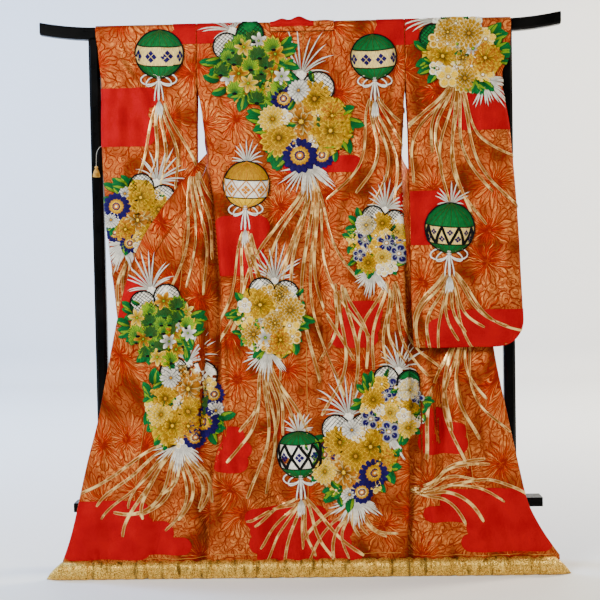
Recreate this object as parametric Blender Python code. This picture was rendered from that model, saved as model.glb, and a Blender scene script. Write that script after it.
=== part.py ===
"""A wedding kimono (uchikake) spread over a lacquered kimono stand.

The stand's bar runs along X and passes through both sleeves.  The garment's back faces -Y, its two
fronts hang behind the bar and are spread out sideways from the side seams.  Sizes are in metres.
"""

import math
from collections import namedtuple

import bmesh
import bpy
from mathutils import Vector

# ---------------------------------------------------------------- driving dimensions

CLOTH = 0.0022              # wall of the lined silk
SEAM = 0.0003               # gap between two sewn pieces
STAND_Y = 0.03125             # the bar's centre line in the finished part's frame

BAR_LENGTH = 1.700
BAR_TOP = 1.775
BAR_DEPTH = 0.036
BAR_HEIGHT = 0.040
BAR_CHAMFER = 0.006
BAR_TIP_LENGTH = 0.200      # stretch over which each end curves up
BAR_TIP_RISE = 0.020
POST_SPACING = 1.346
POST_SIDE = 0.038
POST_CHAMFER = 0.009
RAIL_LENGTH = 1.546
RAIL_BOTTOM = 0.180
RAIL_HEIGHT = 0.030
RAIL_DEPTH = 0.066
FOOT_LENGTH = 0.280
FOOT_WIDTH = 0.066
FOOT_HEIGHT = 0.060
FOOT_CHAMFER = 0.014

RIDGE_HALF = 0.0245         # half the distance between the cloth's two sides over the bar
RIDGE_TOP = 1.7785          # middle of the cloth's wall over the bar
HANG_TOP = 1.750            # where the cloth leaves the bar
HEM_FORWARD = 0.153         # how far the hem stands in front of the bar
HEM_HEIGHT = 0.058          # where the panels end and the padded hem begins
SHOULDER = {"left": 0.3345, "right": 0.3425}    # sleeve seams, from the middle of the stand
SLEEVE_SEAM_END = 1.600     # lowest point of the sleeve's seam to the body
SIDE = {"left": -1.0, "right": 1.0}

EDGE_ROLL = 0.012           # radius of the fold along each side of the back, once it is full
ROLL_START, ROLL_FULL = 1.560, 1.250            # heights between which that fold closes
FLAT_SHARE = 0.86           # share of a back panel's columns that lies before the fold
NECK_SHARE = 0.30           # share of a back panel's width that the neckline takes
BEHIND_BACK = CLOTH + SEAM + 0.0003             # a front's side edge behind the back's edge
TUCK_START, TUCK_END = 0.014, 0.062             # where a front comes out from behind the back

FUKI_HEIGHT = 0.0565
FUKI_DEPTH = 0.054
FUKI_TIP = {"left": 0.831, "right": 0.830}
FUKI_FOOT = 0.016           # half the width of the roll's flat underside
FUKI_SIDES = 12

# ---------------------------------------------------------------- tables

# One row for each height of the back: its two side folds and the centre seam, from the middle.
BackRow = namedtuple("BackRow", "height left centre right")
BACK = [
    BackRow(1.750, 0.3345, 0.013, 0.3425),
    BackRow(1.600, 0.3345, 0.012, 0.3425),
    BackRow(1.480, 0.320, 0.012, 0.334),
    BackRow(1.350, 0.304, 0.012, 0.326),
    BackRow(1.200, 0.286, 0.011, 0.325),
    BackRow(1.050, 0.273, 0.010, 0.326),
    BackRow(0.880, 0.264, 0.009, 0.329),
    BackRow(0.720, 0.268, 0.008, 0.332),
    BackRow(0.520, 0.268, 0.007, 0.331),
    BackRow(0.310, 0.298, 0.006, 0.330),
    BackRow(0.150, 0.313, 0.005, 0.323),
    BackRow(HEM_HEIGHT, 0.320, 0.005, 0.322),
]

# One row for each section of a front, from the shoulder to the hem.  side_: the edge that meets
# the back (height, how far outside and behind the back's own edge).  edge_: the free edge
# (from the middle, height, how far behind the hanging plane).  belly: how far the section bows
# back.  pleat: depth of its gathers.  seam, band: where the overlap and the collar begin.
FrontRow = namedtuple(
    "FrontRow",
    "side_height side_out side_behind edge_x edge_height edge_behind belly pleat seam band",
)
FRONT = {
    "left": [
        FrontRow(1.752, -0.001, 0.0490, 0.0905, 1.752, 0.049, 0.000, 0.000, 0.60, 0.774),
        FrontRow(1.655, -0.001, 0.0580, 0.122, 1.655, 0.062, 0.006, 0.003, 0.57, 0.740),
        FrontRow(1.555, 0.000, 0.0640, 0.168, 1.565, 0.074, 0.014, 0.004, 0.53, 0.700),
        FrontRow(1.455, 0.006, 0.0620, 0.221, 1.485, 0.080, 0.024, 0.003, 0.50, 0.680),
        FrontRow(1.370, 0.012, 0.0520, 0.262, 1.425, 0.090, 0.014, 0.000, 0.48, 0.680),
        FrontRow(1.305, 0.012, 0.0420, 0.300, 1.375, 0.076, 0.004, 0.000, 0.46, 0.690),
        FrontRow(1.235, 0.000, BEHIND_BACK, 0.333, 1.325, 0.010, 0.000, 0.000, 0.46, 0.660),
        FrontRow(1.165, 0.000, BEHIND_BACK, 0.386, 1.262, -0.005, 0.000, 0.000, 0.52, 0.600),
        FrontRow(1.090, 0.000, BEHIND_BACK, 0.456, 1.172, -0.006, 0.000, 0.000, 0.55, 0.680),
        FrontRow(1.005, 0.000, BEHIND_BACK, 0.526, 1.062, -0.004, 0.000, 0.000, 0.48, 0.770),
        FrontRow(0.900, 0.000, BEHIND_BACK, 0.575, 0.925, -0.002, 0.000, 0.000, 0.45, 0.825),
        FrontRow(0.790, 0.000, BEHIND_BACK, 0.606, 0.795, 0.000, 0.000, 0.000, 0.51, 0.845),
        FrontRow(0.650, 0.000, BEHIND_BACK, 0.635, 0.650, 0.002, 0.000, 0.000, 0.59, 0.860),
        FrontRow(0.500, 0.000, BEHIND_BACK, 0.665, 0.500, 0.004, 0.000, 0.000, 0.626, 0.870),
        FrontRow(0.360, 0.000, BEHIND_BACK, 0.702, 0.360, 0.004, 0.000, 0.000, 0.608, 0.880),
        FrontRow(0.220, 0.000, BEHIND_BACK, 0.733, 0.220, 0.003, 0.000, 0.000, 0.587, 0.880),
        FrontRow(0.120, 0.000, BEHIND_BACK, 0.758, 0.120, 0.001, 0.000, 0.000, 0.570, 0.880),
        FrontRow(HEM_HEIGHT, 0.0, BEHIND_BACK, 0.780, HEM_HEIGHT, 0.0, 0.0, 0.0, 0.557, 0.880),
    ],
    "right": [
        FrontRow(1.752, -0.001, 0.0490, 0.1125, 1.752, 0.049, 0.000, 0.000, 0.60, 0.765),
        FrontRow(1.660, -0.001, 0.0580, 0.150, 1.660, 0.070, 0.006, 0.003, 0.57, 0.730),
        FrontRow(1.560, 0.000, 0.0640, 0.200, 1.560, 0.094, 0.012, 0.004, 0.52, 0.690),
        FrontRow(1.460, 0.006, 0.0640, 0.262, 1.450, 0.122, 0.012, 0.005, 0.48, 0.660),
        FrontRow(1.370, 0.006, 0.0520, 0.326, 1.345, 0.145, 0.004, 0.002, 0.46, 0.640),
        FrontRow(1.290, 0.006, 0.0300, 0.396, 1.235, 0.148, 0.000, 0.000, 0.44, 0.630),
        FrontRow(1.200, 0.000, BEHIND_BACK, 0.464, 1.120, 0.128, 0.006, 0.000, 0.44, 0.600),
        FrontRow(1.100, 0.000, BEHIND_BACK, 0.520, 1.010, 0.102, 0.008, 0.000, 0.52, 0.570),
        FrontRow(1.000, 0.000, BEHIND_BACK, 0.562, 0.900, 0.076, 0.006, 0.000, 0.50, 0.690),
        FrontRow(0.890, 0.000, BEHIND_BACK, 0.594, 0.800, 0.056, 0.004, 0.000, 0.50, 0.790),
        FrontRow(0.780, 0.000, BEHIND_BACK, 0.608, 0.730, 0.044, 0.002, 0.000, 0.52, 0.810),
        FrontRow(0.660, 0.000, BEHIND_BACK, 0.620, 0.645, 0.030, 0.000, 0.000, 0.55, 0.820),
        FrontRow(0.550, 0.000, BEHIND_BACK, 0.637, 0.545, 0.018, 0.000, 0.000, 0.565, 0.830),
        FrontRow(0.440, 0.000, BEHIND_BACK, 0.656, 0.440, 0.008, 0.000, 0.000, 0.575, 0.840),
        FrontRow(0.330, 0.000, BEHIND_BACK, 0.678, 0.330, 0.003, 0.000, 0.000, 0.575, 0.850),
        FrontRow(0.220, 0.000, BEHIND_BACK, 0.703, 0.220, 0.002, 0.000, 0.000, 0.565, 0.860),
        FrontRow(0.130, 0.000, BEHIND_BACK, 0.748, 0.130, 0.000, 0.000, 0.000, 0.550, 0.870),
        FrontRow(HEM_HEIGHT, 0.0, BEHIND_BACK, 0.797, HEM_HEIGHT, 0.0, 0.0, 0.0, 0.540, 0.880),
    ],
}
OVERLAP_FIRST = 7           # the row where the overlap panel's point begins
COLLAR_LAST = {"left": 11, "right": 9}          # the row where the collar band ends
FRONT_STEPS = (0, 1, 2, 3, 3.5, 4, 4.5, 5, 5.5, 6, 6.5, 7, 8, 9, 10, 11, 12, 13, 14, 15, 16, 17)
FRONT_SHARES = (0.0, 0.08, 0.17, 0.30, 0.46, 0.64, 0.82, 1.0)
EVEN_LOW = 1.130            # above this height the columns of a front stand evenly
OVERLAP_COLUMNS = 4
COLLAR_COLUMNS = 2
PLEATS = 2                  # gathers across a front where it passes the side opening

# One row for each soft fold: place across the piece at its top and at the hem, half width,
# and depth near the top, half way and near the hem.  Negative depth is a ridge.
Fold = namedtuple("Fold", "top low width depth_top depth_middle depth_low")
BACK_FOLDS = [
    Fold(-0.86, -0.80, 0.022, 0.000, 0.010, 0.006),
    Fold(-0.62, -0.50, 0.040, -0.003, -0.006, -0.009),
    Fold(-0.30, -0.34, 0.030, 0.002, 0.006, 0.010),
    Fold(-0.10, -0.12, 0.030, 0.000, -0.005, -0.007),
    Fold(0.16, 0.17, 0.024, 0.002, 0.012, 0.005),
    Fold(0.42, 0.50, 0.045, -0.002, -0.009, -0.008),
    Fold(0.72, 0.74, 0.026, 0.002, 0.010, 0.008),
]
FRONT_FOLDS = {
    "left": [
        Fold(0.30, 0.22, 0.022, 0.000, -0.011, -0.006),
        Fold(0.42, 0.36, 0.024, 0.000, 0.009, 0.008),
        Fold(0.60, 0.52, 0.030, 0.000, -0.007, -0.008),
        Fold(0.78, 0.72, 0.030, 0.000, 0.004, 0.008),
        Fold(0.90, 0.90, 0.030, 0.000, -0.003, -0.006),
    ],
    "right": [
        Fold(0.26, 0.20, 0.022, 0.000, -0.010, -0.009),
        Fold(0.40, 0.34, 0.022, 0.000, 0.010, 0.008),
        Fold(0.56, 0.52, 0.028, 0.000, -0.008, -0.009),
        Fold(0.76, 0.74, 0.030, 0.000, 0.006, 0.008),
        Fold(0.90, 0.90, 0.030, 0.000, -0.003, -0.005),
    ],
}

# One row for each height of a sleeve: its edge at the body, its outer edge, the outer edge of its
# front side (which passes inside the post), and how far the back side stands before or behind
# the hanging plane, and where the front side lies at the body and at the outer edge.
SleeveRow = namedtuple("SleeveRow", "height inner outer front_outer face rear_inner rear_outer")
SLEEVE = {
    "left": [
        SleeveRow(1.752, 0.3345, 0.665, 0.665, 0.000, 0.0245, 0.0245),
        SleeveRow(1.700, 0.3345, 0.658, 0.648, 0.001, 0.0255, 0.0240),
        SleeveRow(1.650, 0.3345, 0.654, 0.646, 0.002, 0.0258, 0.0120),
        SleeveRow(1.600, 0.3350, 0.648, 0.646, 0.002, 0.0258, -0.008),
        SleeveRow(1.540, 0.3365, 0.648, 0.648, 0.004, 0.0180, -0.016),
        SleeveRow(1.440, 0.3380, 0.650, 0.650, 0.008, 0.0020, -0.021),
        SleeveRow(1.340, 0.3385, 0.649, 0.649, 0.013, -0.010, -0.026),
        SleeveRow(1.208, 0.3385, 0.642, 0.642, 0.020, -0.022, -0.032),
        SleeveRow(1.078, 0.3380, 0.633, 0.633, 0.027, -0.033, -0.038),
        SleeveRow(0.950, 0.3375, 0.621, 0.621, 0.034, -0.040, -0.043),
        SleeveRow(0.850, 0.3380, 0.611, 0.611, 0.038, -0.046, -0.048),
        SleeveRow(0.780, 0.3390, 0.604, 0.604, 0.041, -0.050, -0.052),
        SleeveRow(0.720, 0.3400, 0.600, 0.600, 0.044, -0.053, -0.055),
    ],
    "right": [
        SleeveRow(1.752, 0.3425, 0.687, 0.687, 0.000, 0.0245, 0.0245),
        SleeveRow(1.700, 0.3425, 0.684, 0.648, 0.001, 0.0255, 0.0240),
        SleeveRow(1.650, 0.3425, 0.680, 0.646, 0.001, 0.0258, 0.0120),
        SleeveRow(1.600, 0.3430, 0.655, 0.646, 0.000, 0.0258, -0.010),
        SleeveRow(1.540, 0.3440, 0.656, 0.656, -0.001, 0.0160, -0.024),
        SleeveRow(1.440, 0.3470, 0.672, 0.672, -0.002, -0.004, -0.032),
        SleeveRow(1.340, 0.3475, 0.681, 0.681, -0.003, -0.022, -0.040),
        SleeveRow(1.208, 0.3470, 0.689, 0.689, -0.004, -0.042, -0.051),
        SleeveRow(1.078, 0.3460, 0.695, 0.695, -0.005, -0.058, -0.062),
        SleeveRow(0.950, 0.3465, 0.698, 0.698, -0.006, -0.073, -0.074),
        SleeveRow(0.850, 0.3475, 0.701, 0.701, -0.006, -0.083, -0.084),
        SleeveRow(0.780, 0.3490, 0.702, 0.702, -0.006, -0.090, -0.091),
        SleeveRow(0.720, 0.3510, 0.702, 0.702, -0.006, -0.096, -0.097),
    ],
}
SLEEVE_FOLDS = [
    Fold(0.10, 0.08, 0.030, 0.000, 0.004, 0.003),
    Fold(0.34, 0.30, 0.050, -0.001, -0.004, -0.004),
    Fold(0.62, 0.60, 0.045, 0.001, 0.004, 0.003),
    Fold(0.84, 0.86, 0.040, 0.000, -0.003, -0.002),
]
SLEEVE_BOTTOM = 0.716
SLEEVE_CORNER = 0.085       # radius of the sleeve's round lower corner
SLEEVE_ROUNDING = 0.030     # width over which its two sides come together at a closed edge
SLEEVE_COLUMNS = 8
SLEEVE_STEPS = (
    1.745, 1.705, 1.665, 1.630, 1.595, 1.560, 1.520, 1.450, 1.360, 1.260, 1.150, 1.040, 0.940,
    0.860, 0.805, 0.768, 0.740, 0.724, 0.716,
)
CUFF_LOW, CUFF_HIGH = 1.550, 1.665              # the closed outer edge fades out between them

# One row for each bulge of the collar where it crosses the bar: place, half width, height.
Bulge = namedtuple("Bulge", "place width height")
COLLAR_BULGES = [
    Bulge(-0.055, 0.016, 0.006),
    Bulge(0.004, 0.022, 0.010),
    Bulge(0.046, 0.016, 0.006),
]
COLLAR_BACK_COLUMNS = 14

# One row for each padded length of the hem: its two ends, its free end, its gathers and their
# depth as a share of the roll.
HemRoll = namedtuple("HemRoll", "name start end tip gathers first last depth")
HEM_ROLLS = [
    HemRoll("fuki_left", -0.831, -0.3195, "left", 7, -0.585, -0.345, 0.09),
    HemRoll("fuki_back_left", -0.3190, 0.0048, None, 6, -0.290, -0.030, 0.06),
    HemRoll("fuki_back_right", 0.0052, 0.3220, None, 6, 0.040, 0.295, 0.06),
    HemRoll("fuki_right", 0.3225, 0.830, "right", 8, 0.345, 0.600, 0.10),
]

BROCADE = ("brocade", (0.78, 0.27, 0.10), 0.42, 0.25)
LINING_RED = ("red_silk", (0.66, 0.03, 0.02), 0.50, 0.0)
GOLD_BROCADE = ("gold_brocade", (0.66, 0.46, 0.20), 0.40, 0.45)
LACQUER = ("black_lacquer", (0.012, 0.012, 0.014), 0.18, 0.0)

# ---------------------------------------------------------------- small helpers


def smooth(value):
    """An S-shaped step from 0 to 1."""
    value = min(max(value, 0.0), 1.0)
    return value * value * (3.0 - 2.0 * value)


def mix(first, second, share):
    """The value a share of the way from first to second."""
    return first + (second - first) * share


def between_rows(rows, place):
    """The row at a place between two rows of a table, on a smooth curve through them."""
    low = min(max(int(math.floor(place)), 0), len(rows) - 2)
    share = place - low
    before, start = rows[max(low - 1, 0)], rows[low]
    end, after = rows[low + 1], rows[min(low + 2, len(rows) - 1)]
    values = []
    for a, b, c, d in zip(before, start, end, after):
        slope_b = 0.0 if (b - a) * (c - b) <= 0.0 else 0.5 * (c - a)
        slope_c = 0.0 if (c - b) * (d - c) <= 0.0 else 0.5 * (d - b)
        square, cube = share * share, share * share * share
        values.append(
            b * (2 * cube - 3 * square + 1)
            + slope_b * (cube - 2 * square + share)
            + c * (3 * square - 2 * cube)
            + slope_c * (cube - square)
        )
    return rows[0]._make(values)


def row_at_height(rows, height):
    """The row of a table at a height; the table runs downwards."""
    height = min(max(height, rows[-1].height), rows[0].height)
    for index in range(len(rows) - 1):
        upper, lower = rows[index].height, rows[index + 1].height
        if height >= lower:
            return between_rows(rows, index + (upper - height) / (upper - lower))
    return rows[-1]


def hanging_y(height):
    """The plane in which the back hangs, from the bar forward to the hem."""
    return -RIDGE_HALF - HEM_FORWARD * (1.0 - min(height, HANG_TOP) / HANG_TOP)


def fold_depth(folds, across, down, width):
    """The folds' depth at a share across a piece and a share down it."""
    depth = 0.0
    for fold in folds:
        place = mix(fold.top, fold.low, down)
        if down < 0.5:
            strength = mix(fold.depth_top, fold.depth_middle, smooth(down * 2.0))
        else:
            strength = mix(fold.depth_middle, fold.depth_low, smooth(down * 2.0 - 1.0))
        depth += strength * math.exp(-(((across - place) * width / fold.width) ** 2))
    return depth


def ridge_path():
    """Points of the cloth's path over the bar, from its rear side to its front, as (y, z)."""
    corner = 0.013
    points = [(RIDGE_HALF, 1.7535)]
    for step in range(3):
        turn = math.radians(45.0 * step)
        points.append((
            RIDGE_HALF - corner + corner * math.cos(turn),
            RIDGE_TOP - corner + corner * math.sin(turn),
        ))
    for step in range(2, -1, -1):
        turn = math.radians(45.0 * step)
        points.append((
            -RIDGE_HALF + corner - corner * math.cos(turn),
            RIDGE_TOP - corner + corner * math.sin(turn),
        ))
    return points


def make_material(recipe):
    """A material from its name, colour, roughness and metallic share."""
    name, colour, roughness, metallic = recipe
    material = bpy.data.materials.get(name)
    if material:
        return material
    material = bpy.data.materials.new(name)
    material.use_nodes = True
    shader = material.node_tree.nodes["Principled BSDF"]
    shader.inputs["Base Color"].default_value = (*colour, 1.0)
    shader.inputs["Roughness"].default_value = roughness
    shader.inputs["Metallic"].default_value = metallic
    return material


def place_in_scene(name, mesh, recipe):
    """Make an object of a mesh and stand it in the part's frame."""
    mesh.materials.append(make_material(recipe))
    mesh.shade_smooth()
    mesh.set_sharp_from_angle(angle=math.radians(50.0))
    item = bpy.data.objects.new(name, mesh)
    item.parent = bpy.data.objects["kimono_frame"]
    bpy.context.scene.collection.objects.link(item)
    return item


def grid_normal(grid, row, column):
    """The surface's direction at a point of a grid, from its neighbours on every side."""
    above, below = grid[max(row - 1, 0)][column], grid[min(row + 1, len(grid) - 1)][column]
    before = grid[row][max(column - 1, 0)]
    after = grid[row][min(column + 1, len(grid[0]) - 1)]
    return (below - above).cross(after - before).normalized()


def cloth_sheet(name, grid, keep, recipe, flip=False):
    """A wall of cloth on a grid of points; keep(row, column) says which of its cells it has.

    The wall stands half its thickness to each side of the grid, so pieces cut from one grid meet
    face to face.  Their edges are drawn in by half a seam.  flip turns the outer side round.
    """
    cells = [
        (row, column)
        for row in range(len(grid) - 1)
        for column in range(len(grid[0]) - 1)
        if keep(row, column)
    ]
    loops = []
    for row, column in cells:
        loop = [(row, column), (row + 1, column), (row + 1, column + 1), (row, column + 1)]
        loops.append(loop[::-1] if flip else loop)
    edges = {}
    pulls = {}
    for loop in loops:
        middle = sum((grid[row][column] for row, column in loop), Vector()) / 4.0
        for number, corner in enumerate(loop):
            edges[corner, loop[(number + 1) % 4]] = True
            toward = (middle - grid[corner[0]][corner[1]]).normalized()
            pulls[corner] = pulls.get(corner, Vector()) + toward
    rim = [edge for edge in edges if (edge[1], edge[0]) not in edges]
    on_rim = {corner for edge in rim for corner in edge}
    work = bmesh.new()
    outer, inner = {}, {}
    for corner, pull in pulls.items():
        point = grid[corner[0]][corner[1]].copy()
        normal = grid_normal(grid, *corner) * (-0.5 * CLOTH if flip else 0.5 * CLOTH)
        if corner in on_rim:
            point += pull.normalized() * SEAM * 0.75
        outer[corner] = work.verts.new(point + normal)
        inner[corner] = work.verts.new(point - normal)
    for loop in loops:
        first, second, third, fourth = (grid[row][column] for row, column in loop)
        turned = (first - third).length > (second - fourth).length
        ring = loop[1:] + loop[:1] if turned else loop
        for half in (ring[:3], [ring[0], ring[2], ring[3]]):
            work.faces.new([outer[corner] for corner in half])
            work.faces.new([inner[corner] for corner in reversed(half)])
    for first, second in rim:
        if first < second:
            work.faces.new((outer[second], outer[first], inner[second]))
            work.faces.new((outer[first], inner[first], inner[second]))
        else:
            work.faces.new((outer[second], outer[first], inner[first]))
            work.faces.new((outer[second], inner[first], inner[second]))
    mesh = bpy.data.meshes.new(name)
    work.to_mesh(mesh)
    work.free()
    return place_in_scene(name, mesh, recipe)


def everywhere(row, column):
    """Keep every cell of a grid."""
    return True


# ---------------------------------------------------------------- the back


def back_point(side, across, height):
    """A point of the back: across runs from the centre seam (0) to the side edge (1).

    The last stretch turns back round the side fold to the seam behind it.
    """
    row = row_at_height(BACK, height)
    edge = SIDE[side] * (row.left if side == "left" else row.right)
    width = edge - row.centre
    down = (HANG_TOP - height) / HANG_TOP
    full_turn = math.pi * smooth((ROLL_START - height) / (ROLL_START - ROLL_FULL))
    full_turn = max(full_turn, 0.02)
    radius = math.pi * EDGE_ROLL / full_turn
    reach = radius * math.sin(min(full_turn, 0.5 * math.pi))
    flat_edge = edge - SIDE[side] * reach
    if across <= FLAT_SHARE:
        share = across / FLAT_SHARE
        x = mix(row.centre, flat_edge, share)
        y = hanging_y(height)
        fade = smooth((1.0 - share) * 8.0) * smooth(down * 12.0)
        y += fade * fold_depth(BACK_FOLDS, SIDE[side] * share, down, abs(width))
        return Vector((x, y, height))
    turn = full_turn * (across - FLAT_SHARE) / (1.0 - FLAT_SHARE)
    return Vector((
        flat_edge + SIDE[side] * radius * math.sin(turn),
        hanging_y(height) + radius * (1.0 - math.cos(turn)),
        height,
    ))


BACK_SHARES = (
    0.0, 0.10, 0.20, NECK_SHARE, 0.40, 0.50, 0.60, 0.70, 0.79, FLAT_SHARE, 0.895, 0.93, 0.965, 1.0,
)
BACK_STEPS = (
    1.745, 1.675, 1.600, 1.520, 1.440, 1.350, 1.265, 1.170, 1.050, 0.930, 0.810, 0.690, 0.570,
    0.450, 0.340, 0.240, 0.150, HEM_HEIGHT,
)


def build_back(side):
    """One back length, over the bar at the shoulder and cut away at the neck."""
    grid = []
    for y, z in ridge_path():
        points = []
        for across in BACK_SHARES:
            point = back_point(side, across, HANG_TOP)
            points.append(Vector((point.x, y, z)))
        grid.append(points)
    over_bar = len(grid)
    for height in BACK_STEPS:
        grid.append([back_point(side, across, height) for across in BACK_SHARES])
    neck = BACK_SHARES.index(NECK_SHARE)

    def keep(row, column):
        return row >= over_bar or column >= neck

    cloth_sheet("back_" + side, grid, keep, BROCADE, flip=side == "left")


# ---------------------------------------------------------------- the fronts


def front_point(side, step, across):
    """A point of a front: step runs down its rows, across from the side seam to its free edge."""
    row = between_rows(FRONT[side], step)
    side_edge = back_point(side, 1.0, row.side_height)
    start = Vector((
        side_edge.x + SIDE[side] * row.side_out,
        side_edge.y + row.side_behind,
        row.side_height,
    ))
    end = Vector((
        SIDE[side] * row.edge_x,
        hanging_y(row.edge_height) + row.edge_behind,
        row.edge_height,
    ))
    length = (end - start).length
    point = start.lerp(end, across)
    straight = smooth((row.side_height - ROLL_FULL) / 0.12)
    tucked = smooth((across * length - TUCK_START) / (TUCK_END - TUCK_START))
    point.y = mix(
        mix(start.y, end.y + hanging_y(point.z) - hanging_y(end.z), tucked), point.y, straight
    )
    point.y += row.belly * math.sin(math.pi * across)
    point.y += row.pleat * math.sin(2.0 * math.pi * PLEATS * across) * (1.0 - across * 0.4)
    down = (HANG_TOP - row.side_height) / HANG_TOP
    fade = smooth((across * length - 0.03) / 0.04) * smooth((1.30 - row.side_height) / 0.2)
    fade *= smooth((1.0 - across) * length / 0.05)
    point.y += fade * fold_depth(FRONT_FOLDS[side], across, down, length)
    return point


def front_columns(row):
    """Shares across a front's section at which its grid has a column."""
    last = len(FRONT_SHARES) - 1
    even = smooth((row.side_height - EVEN_LOW) / 0.10)
    columns = [
        row.seam * mix(share, number / last, even) for number, share in enumerate(FRONT_SHARES)
    ]
    for number in range(1, OVERLAP_COLUMNS + 1):
        columns.append(mix(row.seam, row.band, number / OVERLAP_COLUMNS))
    for number in range(1, COLLAR_COLUMNS + 1):
        columns.append(mix(row.band, 1.0, number / COLLAR_COLUMNS))
    return columns


def build_front(side):
    """A front, its overlap panel and its stretch of collar, cut from one draped surface."""
    grid = []
    for step in FRONT_STEPS:
        row = between_rows(FRONT[side], step)
        grid.append([front_point(side, step, across) for across in front_columns(row)])
    seam_column = len(FRONT_SHARES) - 1
    band_column = seam_column + OVERLAP_COLUMNS
    overlap_row = FRONT_STEPS.index(OVERLAP_FIRST)
    collar_row = FRONT_STEPS.index(COLLAR_LAST[side])

    def in_front(row, column):
        return column < seam_column or (column < band_column and row < overlap_row)

    def in_collar(row, column):
        return column >= band_column and row < collar_row

    def in_overlap(row, column):
        return not in_front(row, column) and not in_collar(row, column)

    turned = side == "left"
    cloth_sheet("front_" + side, grid, in_front, BROCADE, flip=turned)
    cloth_sheet("okumi_" + side, grid, in_overlap, BROCADE, flip=turned)
    cloth_sheet("collar_" + side, grid, in_collar, BROCADE, flip=turned)


def build_collar_back():
    """The collar's stretch across the bar, between the two fronts."""
    left = back_point("left", NECK_SHARE, HANG_TOP).x + SEAM
    right = back_point("right", NECK_SHARE, HANG_TOP).x - SEAM
    path = (
        (-0.0248, 1.7462), (-0.0265, 1.7620), (-0.0240, 1.7760), (-0.0130, 1.7850),
        (0.0030, 1.7870), (0.0180, 1.7820), (0.0275, 1.7700), (0.0310, 1.7500), (0.0325, 1.7180),
    )
    grid = []
    for number, (y, z) in enumerate(path):
        swell = math.sin(math.pi * number / (len(path) - 1)) ** 2
        points = []
        for column in range(COLLAR_BACK_COLUMNS + 1):
            x = mix(left, right, column / COLLAR_BACK_COLUMNS)
            rise = 0.0
            for bulge in COLLAR_BULGES:
                rise += bulge.height * math.exp(-(((x - bulge.place) / bulge.width) ** 2))
            points.append(Vector((x, y, z + rise * swell)))
        grid.append(points)
    cloth_sheet("collar_back", grid, everywhere, LINING_RED, flip=True)


# ---------------------------------------------------------------- the sleeves


def sleeve_outer(side, height, layer):
    """A sleeve's outer edge at a height, with its round lower corner."""
    row = row_at_height(SLEEVE[side], height)
    outer = row.outer if layer == "back" else row.front_outer
    rise = height - SLEEVE_BOTTOM
    if rise < SLEEVE_CORNER:
        drop = SLEEVE_CORNER - rise
        outer -= SLEEVE_CORNER - math.sqrt(max(SLEEVE_CORNER ** 2 - drop ** 2, 0.0))
    return outer


def sleeve_point(side, layer, across, height):
    """A point of a sleeve's back or front side, from the body (0) to the outer edge (1)."""
    row = row_at_height(SLEEVE[side], height)
    outer = sleeve_outer(side, height, layer)
    x = mix(row.inner, outer, across)
    down = (HANG_TOP - height) / (HANG_TOP - SLEEVE_BOTTOM)
    waves = fold_depth(SLEEVE_FOLDS, across, down, outer - row.inner)
    waves *= smooth(across * 10.0) * smooth(down * 4.0)
    face = hanging_y(height) + row.face
    rear = mix(row.rear_inner, row.rear_outer, smooth(across))
    to_outer = min((outer - x) / SLEEVE_ROUNDING, 1.0)
    to_bottom = min((height - SLEEVE_BOTTOM) / SLEEVE_ROUNDING, 1.0)
    closed = math.sqrt(max(1.0 - (1.0 - to_outer) ** 2, 0.0))
    closed = mix(closed, 1.0, smooth((height - CUFF_LOW) / (CUFF_HIGH - CUFF_LOW)))
    closed *= math.sqrt(max(1.0 - (1.0 - to_bottom) ** 2, 0.0))
    middle = mix(face, rear, 0.5)
    half = max((rear - face) * 0.5 * closed, (CLOTH + SEAM) * 0.55)
    y = middle - half if layer == "back" else middle + half
    return Vector((SIDE[side] * x, y + waves, height))


def build_sleeve(side):
    """The two sides of a sleeve; the back side runs over the bar."""
    shares = [0.90 * number / SLEEVE_COLUMNS for number in range(SLEEVE_COLUMNS + 1)]
    shares += [0.955, 1.0]
    for layer in ("back", "front"):
        grid = []
        if layer == "back":
            for y, z in ridge_path():
                top = [sleeve_point(side, layer, across, HANG_TOP) for across in shares]
                grid.append([Vector((point.x, y, z)) for point in top])
        else:
            top = [sleeve_point(side, layer, across, 1.7530) for across in shares]
            grid.append([Vector((point.x, RIDGE_HALF, 1.7530)) for point in top])
        for height in SLEEVE_STEPS:
            grid.append([sleeve_point(side, layer, across, height) for across in shares])
        turned = (side == "left") == (layer == "back")
        cloth_sheet("sleeve_" + side + "_" + layer, grid, everywhere, BROCADE, flip=turned)


# ---------------------------------------------------------------- the padded hem


def hem_section(x, height, depth):
    """The hem roll's section at a place: round, with a flat underside."""
    centre_y = hanging_y(HEM_HEIGHT) - 0.004
    points = []
    for number in range(FUKI_SIDES):
        turn = 2.0 * math.pi * (number + 0.5) / FUKI_SIDES
        y = 0.5 * depth * math.sin(turn)
        z = 0.5 * height * (1.0 - math.cos(turn))
        if number in (0, FUKI_SIDES - 1):
            y = math.copysign(min(FUKI_FOOT, 0.4 * depth), y)
            z = 0.0
        points.append((x, centre_y + y, z))
    return points


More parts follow.
